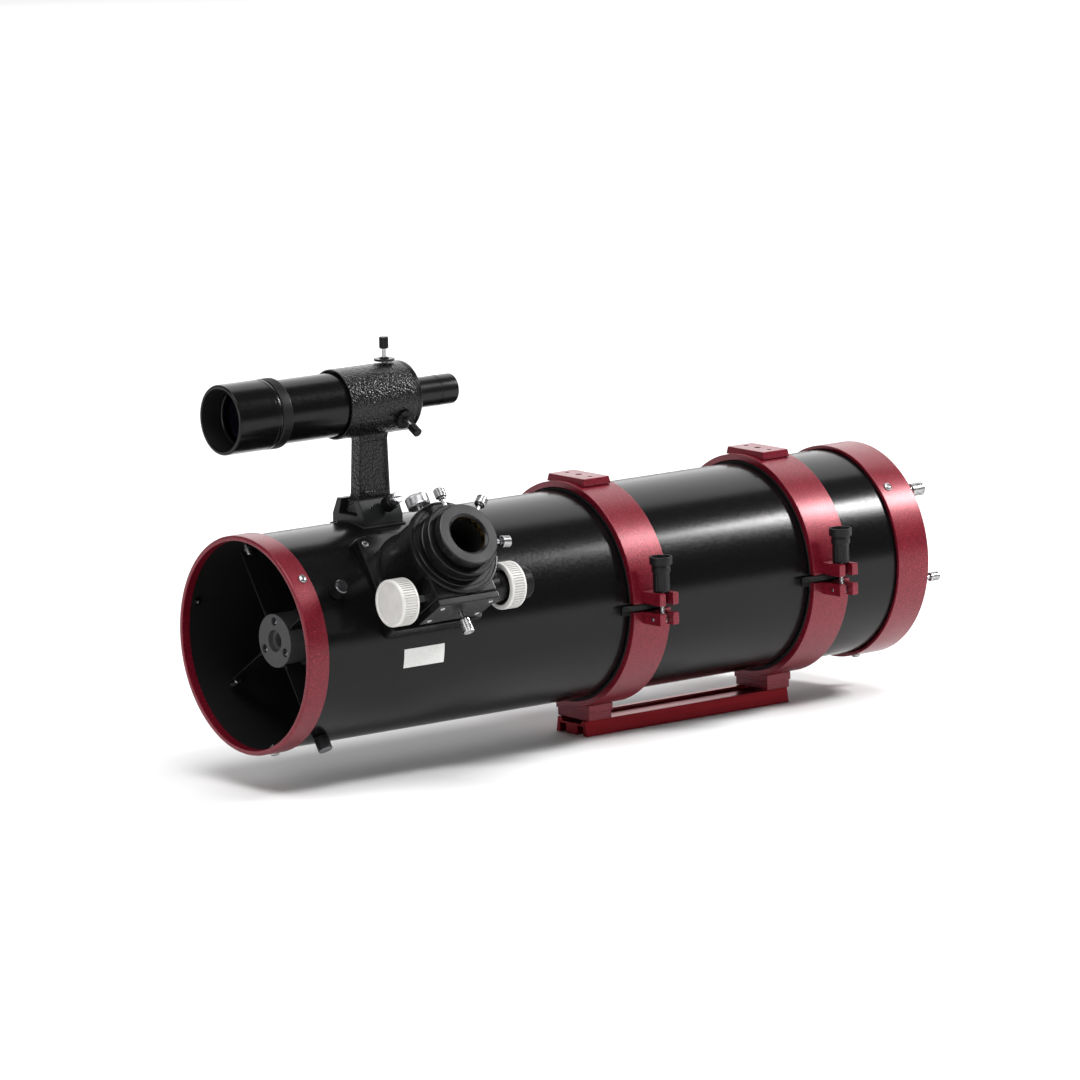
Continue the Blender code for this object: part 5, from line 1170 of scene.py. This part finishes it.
for i, angle in enumerate(AIM_ANGLES):
    knob = move(copy_of(knob_shape, f"collimation_knob_{i + 1}_turned"),
                side_spot(SCREW_CIRCLE, angle))
    hand_over(knob, f"collimation_knob_{i + 1}", "chrome", CHROME, f"collimation_knob_{i + 1}")
    second_finish(knob, SATIN, TUBE, lambda middle, normal: 676.0 < middle.z < 679.1)
    coil = move(spring(f"aiming_spring_{i + 1}", 4.6, 0.6, 658.4, 668.8, 5),
                side_spot(SCREW_CIRCLE, angle))
    hand_over(coil, "tube", "steel", STEEL)
for i, angle in enumerate(LOCK_ANGLES):
    screw = move(copy_of(screw_shape, f"cell_lock_screw_{i + 1}_turned"),
                 side_spot(SCREW_CIRCLE, angle))
    hand_over(screw, f"cell_lock_screw_{i + 1}", "chrome", CHROME, f"cell_lock_screw_{i + 1}")
bpy.data.objects.remove(knob_shape)
bpy.data.objects.remove(screw_shape)

# %% [markdown]
# ## The focuser
# A saddle is screwed to the tube and carries a round housing. In it slides the drawtube,
# pressed against a drive axle by rollers in a block under the housing. The housing is
# joined from rounded blocks and turned discs and then bored, as the casting is machined.

# %% Focuser housing
def on_focuser(x, y, h, direction):
    """Place in the focuser's own coordinates, with Z along a direction given in them."""
    turn = FOCUSER.to_3x3()
    across = (1, 0, 0) if abs(direction[0]) < 0.9 else (0, 0, 1)
    return place(FOCUSER @ (Vector((x, y, h)) * MM), turn @ Vector(direction),
                 turn @ Vector(across))


HOUSING_R, FLANGE_R, HOUSING_BORE = 39.5, 42.3, 30.6
SADDLE_TOP, FLANGE_LOW, HOUSING_END = 95.0, 147.0, 154.0
AXLE_Y, AXLE_H, PRESS_H = -33.3, 133.0, 130.0
saddle = block("focuser_casting", (-47.5, -44.5, 66), (47.5, 44.5, SADDLE_TOP))
edit(saddle, "EDGE")
mesh = bmesh.from_edit_mesh(saddle.data)
for edge in mesh.edges:
    a, b = edge.verts
    edge.select = abs(a.co.z - b.co.z) > MM
bmesh.update_edit_mesh(saddle.data)
bpy.ops.mesh.bevel(offset=4.0 * MM, segments=6, affect="EDGES")
bpy.ops.object.mode_set(mode="OBJECT")
soften(saddle, 1.0, 3, 50)
housing = lathe("housing", [(0, 66), (HOUSING_R, 66), (HOUSING_R + 3.5, SADDLE_TOP - 1),
                            (HOUSING_R + 1.2, SADDLE_TOP + 1.6), (HOUSING_R, SADDLE_TOP + 4.5),
                            (HOUSING_R, FLANGE_LOW - 1.6), (HOUSING_R + 0.6, FLANGE_LOW - 0.4),
                            (FLANGE_R - 0.7, FLANGE_LOW), (FLANGE_R, FLANGE_LOW + 0.7),
                            (FLANGE_R, HOUSING_END - 1.0), (FLANGE_R - 0.9, HOUSING_END - 0.1),
                            (FLANGE_R - 2.0, HOUSING_END), (FLANGE_R - 2.6, HOUSING_END - 0.7),
                            (FLANGE_R - 5.4, HOUSING_END - 0.7), (FLANGE_R - 6.0, HOUSING_END),
                            (0, HOUSING_END)], 128)
boss = soften(block("boss", (-35, -42.7, 115), (28, 0, 151)), 1.5, 3)
join(saddle, housing, boss)
seat = lathe("saddle_seat", [(0, -60), (R + 0.3, -60), (R + 0.3, 60), (0, 60)], 160)
cut(saddle, move(seat, place((0, 0, 0), (1, 0, 0), (0, 0, 1))),
    rod("bore", HOUSING_BORE, 40, 200, 96),
    block("pocket", (-18.3, -60, AXLE_H - 13.3), (18.3, -15, AXLE_H + 13.3)))
for radius, low, high, steps in ((3.3, -60, 60, 32), (8.3, 0, 60, 40), (13.8, 24.0, 98, 64)):
    hole = move(rod("axle_hole", radius, low, high, steps), CROSSWAYS)
    cut(saddle, move(hole, shift(0, AXLE_Y, AXLE_H)))
lock_hole = move(rod("lock_hole", 3.3, -80, 0, 28), Matrix.Rotation(pi / 2, 4, "X"))
cut(saddle, move(lock_hole, shift(0, 0, PRESS_H)))
SADDLE_CORNERS = [(x, y) for x in (-40.5, 40.5) for y in (-37.5, 37.5)]
for at in SADDLE_CORNERS:
    cut(saddle, rod("counterbore", 3.7, SADDLE_TOP - 3.4, 110, 32, at))
move(saddle, FOCUSER)
hand_over(saddle, "tube", "satin_black", SATIN, "focuser_base", angle=17)
screw_shape = socket_screw("saddle_screw", 3.2, 3.0, 1.8, 3.0, 1.7)
soften(screw_shape, 0.15, 2)
for i, (x, y) in enumerate(SADDLE_CORNERS):
    screw = move(copy_of(screw_shape, f"saddle_screw_{i + 1}"),
                 on_focuser(x, y, SADDLE_TOP - 0.3, (0, 0, 1)))
    hand_over(screw, "tube", "steel", CHROME)
bpy.data.objects.remove(screw_shape)

# %% Roller block
cover = soften(block("roller_cover", (-35, -49.7, 115), (28, -43.0, 151)), 1.1, 3)
join(cover, block("block_body", (-18, -46, AXLE_H - 13), (18, -31, AXLE_H + 13)))
for radius, low, high in ((8.0, 9, 36), (13.5, 24.3, 49)):
    sleeve = move(soften(rod("sleeve", radius, low, high, 64), 0.7, 2),
                  CROSSWAYS)
    join(cover, move(sleeve, shift(0, AXLE_Y, AXLE_H)))
axle_bore = move(rod("axle_bore", 3.3, -60, 98, 32), CROSSWAYS)
tension_bore = move(rod("tension_bore", 2.3, 42.7, 84, 28), Matrix.Rotation(pi / 2, 4, "X"))
cut(cover, rod("relief", HOUSING_BORE, 100, 200, 96),
    move(axle_bore, shift(0, AXLE_Y, AXLE_H)),
    move(tension_bore, shift(0, 0, PRESS_H)))
move(cover, FOCUSER)
hand_over(cover, "tube", "satin_black", SATIN, "roller_block", angle=17)
screw_shape = pan_screw("cover_screw", 2.3, 1.3, 3.0)
for i, (x, h) in enumerate([(x, h) for x in (-28.5, 21.5) for h in (121.5, 144.5)]):
    screw = move(copy_of(screw_shape, f"cover_screw_{i + 1}"),
                 on_focuser(x, -49.6, h, (0, -1, 0)))
    hand_over(screw, "tube", "steel", CHROME)
bpy.data.objects.remove(screw_shape)

# %% [markdown]
# The drive runs across the tube: a steel axle with two large light-coloured knobs, and a
# small black knob for the slow drive at its right end. The right knob is hollow from
# behind and slips over the bearing sleeve.

# %% Drive knobs
AXLE = place(JOINTS["coarse_focus"]["pos_m"], REARWARDS, FOCUS_DIRECTION)
axle = move(pin("drive_axle", 3.0, -60.5, 56.8), AXLE)
hand_over(axle, "coarse_drive", "steel", STEEL, "focus_axle")
RIBS = 54
left = lathe("coarse_knob_left_turned", [
    (0, -60.8), (3.3, -60.8), (3.3, -52.5), (18.6, -52.5), (19.6, -52.9), (20, -53.9),
    (20, -55.0), (20, -67.2), (20, -68.3), (19.7, -69.3), (18.9, -70.0), (17.6, -70.0),
    (16.6, -69.4), (0, -69.4)], 2 * RIBS)
ribbed(left, RIBS, 20.0, -67.2, -55.0, 0.8)
move(left, AXLE)
hand_over(left, "coarse_drive", "white_knob", WHITE, "coarse_knob_left")
right = lathe("coarse_knob_right_turned", [
    (3.3, 60.0), (18.6, 60.0), (19.6, 59.6), (20, 58.6), (20, 57.4), (20, 46.9), (20, 45.7),
    (19.6, 44.7), (18.6, 44.3), (16.2, 44.3), (15.6, 44.9), (15.6, 54.3), (3.3, 54.3)], 2 * RIBS)
ribbed(right, RIBS, 20.0, 46.9, 57.4, 0.8)
move(right, AXLE)
hand_over(right, "coarse_drive", "white_knob", WHITE, "coarse_knob_right")
second_finish(right, STEEL, AXLE, lambda middle, normal: middle.z < 54.5 and middle.xy.length < 15.7)
fine = lathe("fine_knob_turned", [
    (0, 57.7), (2.5, 57.7), (2.5, 60.3), (12.9, 60.3), (13.7, 61.0), (13.7, 61.9), (13.7, 70.6),
    (13.7, 71.5), (13.0, 72.5), (11.0, 72.5), (10.4, 72.0), (0, 72.0)], 88)
ribbed(fine, 44, 13.7, 61.9, 70.6, 0.5)
move(fine, AXLE)
hand_over(fine, "fine_knob", "black_plastic", PLASTIC, "fine_knob")


# %% [markdown]
# The thumbscrews of the focuser and of the finder are one family: a plain stem, a narrow
# dark ring at the neck, and a head with straight ribs between two smooth rims.

# %% Thumbscrews
def thumbscrew(name, stem_r, tip, head, head_r, end, ribs=20):
    """Thumbscrew along Z from its tip to its end; the head starts at head."""
    profile = [(0, tip), (stem_r * 0.7, tip), (stem_r, tip + stem_r * 0.3), (stem_r, head - 2.2),
               (stem_r + 1.1, head - 2.0), (stem_r + 1.1, head), (head_r - 0.5, head),
               (head_r, head + 0.5), (head_r, head + 1.3), (head_r, end - 1.5), (head_r, end - 0.6),
               (head_r - 0.6, end), (head_r * 0.45, end), (head_r * 0.38, end - 0.5),
               (0, end - 0.5)]
    screw = lathe(name, profile, 2 * ribs)
    return ribbed(screw, ribs, head_r, head + 1.3, end - 1.5, 0.35)


def place_thumbscrew(screw, where, body, head):
    move(screw, where)
    hand_over(screw, body, "chrome", CHROME, body)
    second_finish(screw, DARK_CHROME, where,
                  lambda middle, normal: head - 2.3 < middle.z < head and middle.xy.length < 3.6)


for i, degrees in enumerate((90.0, -7.0)):
    where = on_focuser(0, 0, 162.2, (cos(radians(degrees)), sin(radians(degrees)), 0))
    name = f"drawtube_screw_{i + 1}"
    place_thumbscrew(thumbscrew(name + "_turned", 2.0, 26.0, 42.1, 4.9, 50.1), where, name, 42.1)
where = on_focuser(0, 0, 173.3, (cos(pi / 4), sin(pi / 4), 0))
place_thumbscrew(thumbscrew("adapter_screw_turned", 2.0, 16.8, 36.9, 4.9, 44.9), where,
                 "adapter_screw", 36.9)
where = on_focuser(0, 0, PRESS_H, (0, -1, 0))
place_thumbscrew(thumbscrew("tension_screw_turned", 2.0, 44.2, 56.7, 5.0, 68.7, 22), where,
                 "focus_tension_screw", 56.7)

# %% Lock knob
lock = lathe("focus_lock_knob_turned",
             [(0, 30.3), (2.5, 30.3), (3.0, 30.9), (3.0, 49.0), (9.3, 49.0), (9.8, 49.5)]
             + knurled_wall(10.0, 50.0, 58.0, 10)
             + [(9.8, 58.5), (9.3, 59.0), (5.0, 59.0), (4.4, 58.4), (0, 58.4)], 84)
knurl(lock, 84, 10.0, 50.0, 58.0, 10, 0.3)
move(lock, on_focuser(0, 0, PRESS_H, (0, 1, 0)))
hand_over(lock, "focus_lock_knob", "chrome", STEEL, "focus_lock_knob", angle=20)

# %% [markdown]
# The drawtube ends in a collar, and the eyepiece adapter stands in the collar. Their faces
# are turned, so they show fine rings, and a brass ring inside the adapter grips the
# eyepiece without scratching it.

# %% Drawtube, adapter and brass ring
def side_hole(height, degrees, reach=60.0):
    """Cutter for a screw's hole that runs inwards to the focuser's axis."""
    hole = move(rod("screw_hole", 2.3, 5, reach, 28), CROSSWAYS)
    hole = move(hole, Matrix.Rotation(radians(degrees), 4, "Z"))
    return move(hole, shift(0, 0, height))


sliding = lathe("drawtube_turned", [
    (30.0, 86.0), (30.0, 154.3), (32.4, 154.3), (33.1, 155.0), (33.1, 157.4), (32.5, 157.8),
    (32.5, 158.6), (33.1, 159.0), (33.1, 166.6), (32.6, 167.4), (31.9, 167.8), (29.6, 167.8),
    (29.2, 167.4), (25.7, 167.4), (25.7, 86.0)], 144)
cut(sliding, side_hole(162.2, 90.0), side_hole(162.2, -7.0))
move(sliding, FOCUSER)
hand_over(sliding, "drawtube", "satin_black", TURNED, "drawtube", angle=14)
second_finish(sliding, FLAT, FOCUSER,
              lambda middle, normal: middle.xy.length < 25.9 and middle.z < 150)
BORE = 16.5
adapter = lathe("eyepiece_adapter_turned", [
    (25.4, 144.1), (25.4, 168.1), (26.5, 168.1), (26.5, 170.1), (27.3, 170.1), (27.9, 170.7),
    (27.9, 177.6), (27.5, 178.2), (26.8, 178.5), (19.2, 178.5), (18.9, 178.2), (18.4, 178.2),
    (BORE, 176.8), (BORE, 175.6), (BORE + 1.0, 175.6), (BORE + 1.0, 171.0), (BORE, 171.0),
    (BORE, 144.1)], 144)
cut(adapter, side_hole(173.3, 45.0))
move(adapter, FOCUSER)
hand_over(adapter, "eyepiece_adapter", "satin_black", TURNED, "eyepiece_adapter", angle=14)
# The end face gets the lighter oxide, whose grey is painted sheen.
second_finish(adapter, FACE, FOCUSER,
              lambda middle, normal: middle.z > 178.1 and middle.xy.length > 18.8)
second_finish(adapter, FLAT, FOCUSER,
              lambda middle, normal: middle.xy.length < BORE + 0.1 and middle.z < 160)
second_finish(adapter, BRASS, FOCUSER,
              lambda middle, normal: middle.xy.length < BORE + 0.1 and middle.z > 160)
ring = lathe("compression_ring", [(BORE + 0.9, 171.2), (BORE + 0.9, 175.4), (BORE, 175.4),
                                  (BORE - 0.15, 175.0), (BORE - 0.15, 171.6), (BORE, 171.2)],
             120, radians(340))
move(ring, FOCUSER @ Matrix.Rotation(radians(70), 4, "Z"))
hand_over(ring, "eyepiece_adapter", "satin_black", BRASS)

# %% [markdown]
# ## The finder
# The small finder telescope stands on a shoe. The shoe is an extrusion with a dovetail
# channel, seated on a thin curved pad; the bracket's foot slides in the channel and one
# large screw holds it.

# %% Shoe and its pad
CROWN = R
SHOE_LOW, SHOE_HIGH = 113.0, 154.0
half = [(CROWN - 9, 22.5), (CROWN + 6, 22.5), (CROWN + 20, 15.5), (CROWN + 20, 9.0),
        (CROWN + 7, 13.0)]
shoe = extrusion("finder_shoe_machined", half + [(z, -y) for z, y in reversed(half)],
                 SHOE_LOW, SHOE_HIGH)
soften(shoe, 0.6, 2)
shoe_seat = rod("seat", R + 1.3, 60, 220, 192)
cut(shoe, shoe_seat)
move(shoe, TUBE)
SHOE_SCREW = place((SKY_X + 137 * MM, -17 * MM, AXIS_Z + (CROWN + 11.5) * MM), outwards(28.6),
                   REARWARDS)
SET_SCREW_X = (-13.0, 13.0)
cut(shoe, move(rod("screw_hole", 2.5, -7, 22, 28), SHOE_SCREW))
for x in SET_SCREW_X:
    cut(shoe, move(rod("set_hole", 1.9, -9, 22, 28, at=(x, 1.5)), SHOE_SCREW))
hand_over(shoe, "tube", "satin_black", SHOE_GREY, "finder_shoe")
PAD_ARC = 30.5
pad = lathe("shoe_pad", [(R + 0.2, SHOE_LOW - 1.6), (R + 1.2, SHOE_LOW - 1.6),
                         (R + 1.2, SHOE_HIGH + 1.6), (R + 0.2, SHOE_HIGH + 1.6)],
            40, radians(PAD_ARC))
move(pad, TUBE @ Matrix.Rotation(radians(-PAD_ARC / 2), 4, "Z"))
hand_over(pad, "tube", "rubber", RUBBER)
for i, x in enumerate(SET_SCREW_X):
    plug = lathe(f"shoe_set_screw_{i + 1}", [(0, -4), (1.6, -4), (1.75, -3.8), (1.75, 2.4),
                                             (1.5, 2.7), (0, 2.7)], 28)
    cut(plug, rod("hexagon", 0.95, 0.8, 4, 6))
    move(plug, SHOE_SCREW @ shift(x, 1.5, 0))
    hand_over(plug, "tube", "steel", DARK_CHROME)

# %% Shoe screw
knob = lathe("shoe_screw_turned", [
    (0, -4.0), (1.8, -4.0), (2.2, -3.5), (2.2, 6.5), (5.9, 6.5), (6.5, 7.1), (6.5, 8.1),
    (6.5, 15.6), (6.5, 17.2), (5.9, 18.0), (4.4, 18.0), (4.4, 18.9), (5.0, 19.5), (5.0, 24.6),
    (4.2, 25.5), (0, 25.5)], 56)
ribbed(knob, 28, 6.5, 8.1, 15.6, 0.5)
cut(knob, block("slot", (-7, -0.6, 24.1), (7, 0.6, 27)))
move(knob, SHOE_SCREW)
hand_over(knob, "shoe_screw", "black_plastic", PLASTIC, "shoe_screw")
second_finish(knob, STEEL, SHOE_SCREW, lambda middle, normal: middle.z > 18.2 or middle.z < 6.4)

# %% [markdown]
# The bracket is a casting: a barrel, a tapering stalk with sunk side panels, and the foot.
# Hammered paint covers it, but the barrel's end rims are machined bright and stay smooth.

# %% Bracket
BARREL_R, BARREL_BORE = 29.9, 28.4
BARREL_FRONT, BARREL_REAR = 99.0, 173.0
barrel = lathe("finder_bracket_cast", [
    (BARREL_R, BARREL_REAR - 0.6), (BARREL_R, BARREL_REAR - 3.6), (BARREL_R - 0.35, BARREL_REAR - 3.9),
    (BARREL_R - 0.35, BARREL_REAR - 4.4), (BARREL_R, BARREL_REAR - 4.7), (BARREL_R, BARREL_FRONT + 0.6),
    (BARREL_R - 0.5, BARREL_FRONT), (BARREL_BORE + 0.2, BARREL_FRONT), (BARREL_BORE, BARREL_FRONT + 0.3),
    (BARREL_BORE, BARREL_REAR - 0.3), (BARREL_BORE + 0.2, BARREL_REAR), (BARREL_R - 0.5, BARREL_REAR)],
    144)
move(barrel, FINDER)
STALK = place((SKY_X, 0, AXIS_Z), (0, -1, 0), UP)
stalk_outline = [(CROWN + 16.5, -118.6), (CROWN + 20.5, -119.4), (CROWN + 24, -120.6),
                 (160, -123.0), (164, -122.2), (168, -120.0), (171, -117), (171, -157),
                 (167, -154.6), (163, -152.8), (160, -152.2), (CROWN + 24, -153.4),
                 (CROWN + 16.5, -153.8)]
stalk = extrusion("stalk", stalk_outline, -6.75, 6.75)
soften(stalk, 1.3, 4)
for low, high in ((5.3, 9.0), (-9.0, -5.3)):
    panel = extrusion("panel", [(CROWN + 24.5, -127.4), (159.5, -129.4), (159.5, -149.6),
                                (CROWN + 24.5, -150.8)], low, high)
    cut(stalk, soften(panel, 1.4, 3))
move(stalk, STALK)
foot = extrusion("foot", [(CROWN + 7.3, 12.3), (CROWN + 18.5, 8.85), (CROWN + 18.5, -8.85),
                          (CROWN + 7.3, -12.3)], 118.0, 154.0)
move(soften(foot, 0.4, 2), TUBE)
join(barrel, stalk, foot)
cut(barrel, move(rod("bore", BARREL_BORE, 60, 230, 144), FINDER))
BRACKET_X = 155.6


def beside_finder(degrees):
    return place((SKY_X + BRACKET_X * MM, 0, FINDER_Z), outwards(degrees), REARWARDS)


for angle in three(90.0):
    cut(barrel, move(rod("screw_hole", 2.3, 20, 60, 28), beside_finder(angle)))
hand_over(barrel, "finder_bracket", "hammered_black", HAMMERED, "finder_bracket")
second_finish(barrel, SATIN, FINDER,
              lambda middle, normal: middle.xy.length > BARREL_R - 0.8
              and (middle.z > BARREL_REAR - 4.8 or middle.z < BARREL_FRONT + 0.7)
              or middle.xy.length < BARREL_BORE + 0.3)

# %% Bracket screws
screw_shape = lathe("bracket_screw", [
    (0, 21.6), (1.5, 21.6), (2.0, 22.2), (2.0, 31.5), (8.6, 31.5), (9.0, 31.8), (9.0, 33.2),
    (8.6, 33.5), (4.0, 33.5), (4.0, 34.3), (3.6, 34.7), (2.0, 34.7), (2.0, 42.0), (3.5, 42.0),
    (4.0, 42.5), (4.0, 43.4), (4.0, 50.6), (4.0, 51.5), (3.5, 52.0), (0, 52.0)], 40)
ribbed(screw_shape, 20, 4.0, 43.4, 50.6, 0.35)
for i, angle in enumerate(three(90.0)):
    screw = move(copy_of(screw_shape, f"bracket_screw_{i + 1}_turned"), beside_finder(angle))
    hand_over(screw, f"bracket_screw_{i + 1}", "chrome", CHROME, f"bracket_screw_{i + 1}")
    second_finish(screw, SATIN, beside_finder(angle),
                  lambda middle, normal: middle.z > 42.1 or middle.xy.length > 2.1)
bpy.data.objects.remove(screw_shape)

# %% [markdown]
# The finder itself is turned throughout: a tube with a waist, a rubber ring that centres it
# in the bracket, the objective's cell with its lens, a knurled lock ring and the eyepiece.

# %% Finder optics
FINDER_R, GROOVE_R = 27.1, 25.5
scope = lathe("finder_tube_turned", [
    (FINDER_R, 14.0), (FINDER_R, 101.2), (FINDER_R - 0.4, 101.6), (GROOVE_R, 101.6),
    (GROOVE_R, 106.4), (FINDER_R - 0.4, 106.4), (FINDER_R, 106.8), (FINDER_R, 111.4),
    (FINDER_R - 0.3, 112.3), (20.4, 124.4), (20.0, 125.4), (20.0, 174.3), (19.4, 175.0),
    (17.5, 175.0), (17.5, 125.0), (23.8, 112.0), (23.8, 14.0)], 128)
move(scope, FINDER)
hand_over(scope, "finder_scope", "gloss_black_paint", GLOSS, "finder_tube")
second_finish(scope, FLAT, FINDER, lambda middle, normal: middle.xy.length < 17.7
              or (middle.xy.length < 23.9 and middle.z < 112.5))

bead = [(26.95 + 1.15 * cos(a), 104.0 + 1.7 * sin(a)) for a in [2 * pi * i / 14 for i in range(14)]]
rubber = move(lathe("finder_o_ring_moulded", bead, 96), FINDER)
hand_over(rubber, "finder_o_ring", "rubber", RUBBER, "finder_o_ring")

SHADE_R, SHADE_BORE = 29.8, 26.3
shade = lathe("finder_objective_cell_turned", [
    (SHADE_R, 26.4), (SHADE_R - 0.4, 27.4), (SHADE_R - 1.2, 28.0), (27.4, 28.0), (27.4, 13.7),
    (SHADE_BORE, 13.7), (SHADE_BORE, -15.4), (SHADE_BORE + 0.3, -16.1), (SHADE_BORE + 0.8, -16.4),
    (SHADE_R - 1.0, -16.4), (SHADE_R - 0.4, -16.0), (SHADE_R, -15.2), (SHADE_R, 22.6),
    (SHADE_R - 0.35, 23.0), (SHADE_R - 0.35, 23.8), (SHADE_R, 24.2)], 144)
move(shade, FINDER)
hand_over(shade, "finder_objective", "gloss_black_paint", GLOSS, "finder_objective_cell")
second_finish(shade, FLAT, FINDER, lambda middle, normal: middle.xy.length < SHADE_BORE + 0.05)

retainer = lathe("lens_retainer", [(SHADE_BORE - 0.1, 1.4), (SHADE_BORE - 0.1, 4.2), (23.6, 4.2),
                                   (22.9, 3.4), (22.9, 2.0), (23.5, 1.4)], 120)
move(retainer, FINDER)
hand_over(retainer, "finder_objective", "gloss_black_paint", SATIN)
shares = [i / 12 for i in range(13)]
LENS_R = 26.0
face = [(LENS_R * s, 6.0 - 1.9 * (1 - s * s)) for s in shares]
back = [(LENS_R * s, 10.0 + 1.0 * (1 - s * s)) for s in reversed(shares)]
lens = move(lathe("finder_lens_ground", face + back, 120), FINDER)
hand_over(lens, "finder_objective", "coated_lens", LENS, "finder_lens")

LOCK_R = 30.0
lock_ring = lathe("finder_lock_ring_turned", [
    (27.4, 28.6), (29.3, 28.3), (29.8, 28.8), (LOCK_R, 29.6), (LOCK_R, 36.7), (29.8, 37.5),
    (29.3, 38.0), (27.4, 38.0)], 192)
ribbed(lock_ring, 96, LOCK_R, 29.5, 36.8, 0.35)
move(lock_ring, FINDER)
hand_over(lock_ring, "finder_lock_ring", "satin_black", PLASTIC, "finder_lock_ring")

EYE_R = 13.1
eyepiece = lathe("finder_eyepiece_turned", [
    (0, 167.0), (17.0, 167.0), (17.2, 167.3), (17.2, 175.3), (EYE_R + 2.2, 175.3),
    (EYE_R + 2.2, 177.8), (EYE_R + 1.8, 178.2), (EYE_R, 178.2), (EYE_R, 205.8), (EYE_R - 0.4, 206.2),
    (EYE_R - 0.4, 207.2), (EYE_R, 207.6), (EYE_R, 223.6), (EYE_R - 0.4, 224.5),
    (EYE_R - 1.3, 224.8), (9.6, 224.8), (8.5, 223.6), (8.5, 219.8), (0, 219.8)], 96)
move(eyepiece, FINDER)
hand_over(eyepiece, "finder_scope", "gloss_black_paint", SATIN, "finder_eyepiece")
shares = [i / 6 for i in range(7)]
eye = lathe("eye_lens", [(7.9 * s, 221.4 - 1.2 * s * s) for s in shares] + [(7.9, 219.9), (0, 219.9)],
            64)
move(eye, FINDER)
hand_over(eye, "finder_scope", "coated_lens", LENS)

# %% [markdown]
# A small blank label is stuck on the tube under the focuser. It is a thin curved plate,
# turned through a few degrees at the tube's radius.

# %% Label
def paper_white():
    material = new_material("label_white", (0.80, 0.80, 0.78), 0.0, 0.42)
    fibre = noise(material, 700.0, Detail=3.0)
    vary(material, "Base Color", fibre, [
        (0.3, (0.74, 0.74, 0.72)), (0.7, (0.84, 0.84, 0.82))])
    bump(material, fibre.outputs["Fac"], 0.01, 0.3)
    return material


LABEL_ARC, LABEL_START, LABEL_END = 10.4, 100.8, 143.0
label = lathe("blank_label", [(R + 0.02, LABEL_START), (R + 0.12, LABEL_START),
                              (R + 0.12, LABEL_END), (R + 0.02, LABEL_END)],
              10, radians(LABEL_ARC))
move(label, TUBE @ Matrix.Rotation(radians(93.0), 4, "Z"))
hand_over(label, "tube", "gloss_black_paint", paper_white())

# %% [markdown]
# ## The studio
# The telescope stands on a white floor that runs on far behind it, so no horizon shows.
# The floor is one big plane just under the lowest point of the bar.

# %% Floor
def studio_white():
    material = new_material("studio_floor", (0.90, 0.90, 0.90), 0.0, 0.9,
                            specular_ior_level=0.1)
    mottle = noise(material, 3.0, Detail=2.0)
    vary(material, "Base Color", mottle, [(0.3, 0.90), (0.7, 0.91)])
    return material


deselect()
bpy.ops.mesh.primitive_plane_add(size=80.0, location=(0, 0, -0.0002))
ground = named("studio_floor")
ground.data.materials.append(studio_white())

# %% [markdown]
# Each light is a row of values: its kind, name, the direction it shines from, how far off it
# stands, its strength and its size. The sun is wide, so the shadows are soft. The back wall
# gives the grey sheen that runs along the top of the tube, the box on the left fills the
# open end, and the small box draws the bright band on the rear half of the tube.

# %% Light settings
WORLD_STRENGTH = 0.12
LIGHTS = [("SUN", "overhead_sun", (-0.15, -0.30, 1.0), 8.0, 2.7, 45.0),
          ("AREA", "back_wall", (0.60, 0.78, 0.62), 5.5, 190.0, (6.0, 5.6)),
          ("AREA", "left_box", (-2.6, -0.9, 0.7), 3.0, 20.0, (1.6, 1.2)),
          ("AREA", "highlight_box", (1.98, -1.06, 1.57), 2.7, 56.0, (0.40, 0.55))]

# %% Lights
world = bpy.data.worlds.new("studio")
bpy.context.scene.world = world
world.use_nodes = True
background = world.node_tree.nodes["Background"]
background.inputs["Color"].default_value = (1.0, 1.0, 1.0, 1.0)
background.inputs["Strength"].default_value = WORLD_STRENGTH
TARGET = Vector((-0.1426, 0.0, 0.1745))


def light(kind, name, direction, distance, energy, size):
    """A light that shines on the telescope from a direction."""
    deselect()
    where = TARGET + Vector(direction).normalized() * distance
    bpy.ops.object.light_add(type=kind, location=where)
    lamp = bpy.context.object
    lamp.name = lamp.data.name = name
    lamp.rotation_euler = Vector(direction).to_track_quat("Z", "Y").to_euler()
    lamp.data.energy = energy
    if kind == "SUN":
        lamp.data.angle = radians(size)
    else:
        lamp.data.shape = "RECTANGLE"
        lamp.data.size, lamp.data.size_y = size
    return lamp


for settings in LIGHTS:
    light(*settings)

# %% [markdown]
# The camera stands low and far away with a long lens, so the tube keeps nearly parallel
# sides. It leans a little, as a hand-set tripod head does.

# %% Camera
AZIMUTH, ELEVATION, ROLL = radians(-37.574), radians(9.70), radians(-1.479)
DISTANCE, LENS_MM, SENSOR_MM = 6.906, 266.97, 36.0
deselect()
bpy.ops.object.camera_add()
camera = bpy.context.object
camera.name = "camera"
turn = (Matrix.Rotation(AZIMUTH, 4, "Z") @ Matrix.Rotation(pi / 2 - ELEVATION, 4, "X")
        @ Matrix.Rotation(ROLL, 4, "Z"))
camera.matrix_world = Matrix.Translation(TARGET) @ turn @ Matrix.Translation((0, 0, DISTANCE))
camera.data.lens = LENS_MM
camera.data.sensor_width = SENSOR_MM
camera.data.clip_end = 200.0
bpy.context.scene.camera = camera
bpy.context.scene.view_settings.view_transform = "Standard"
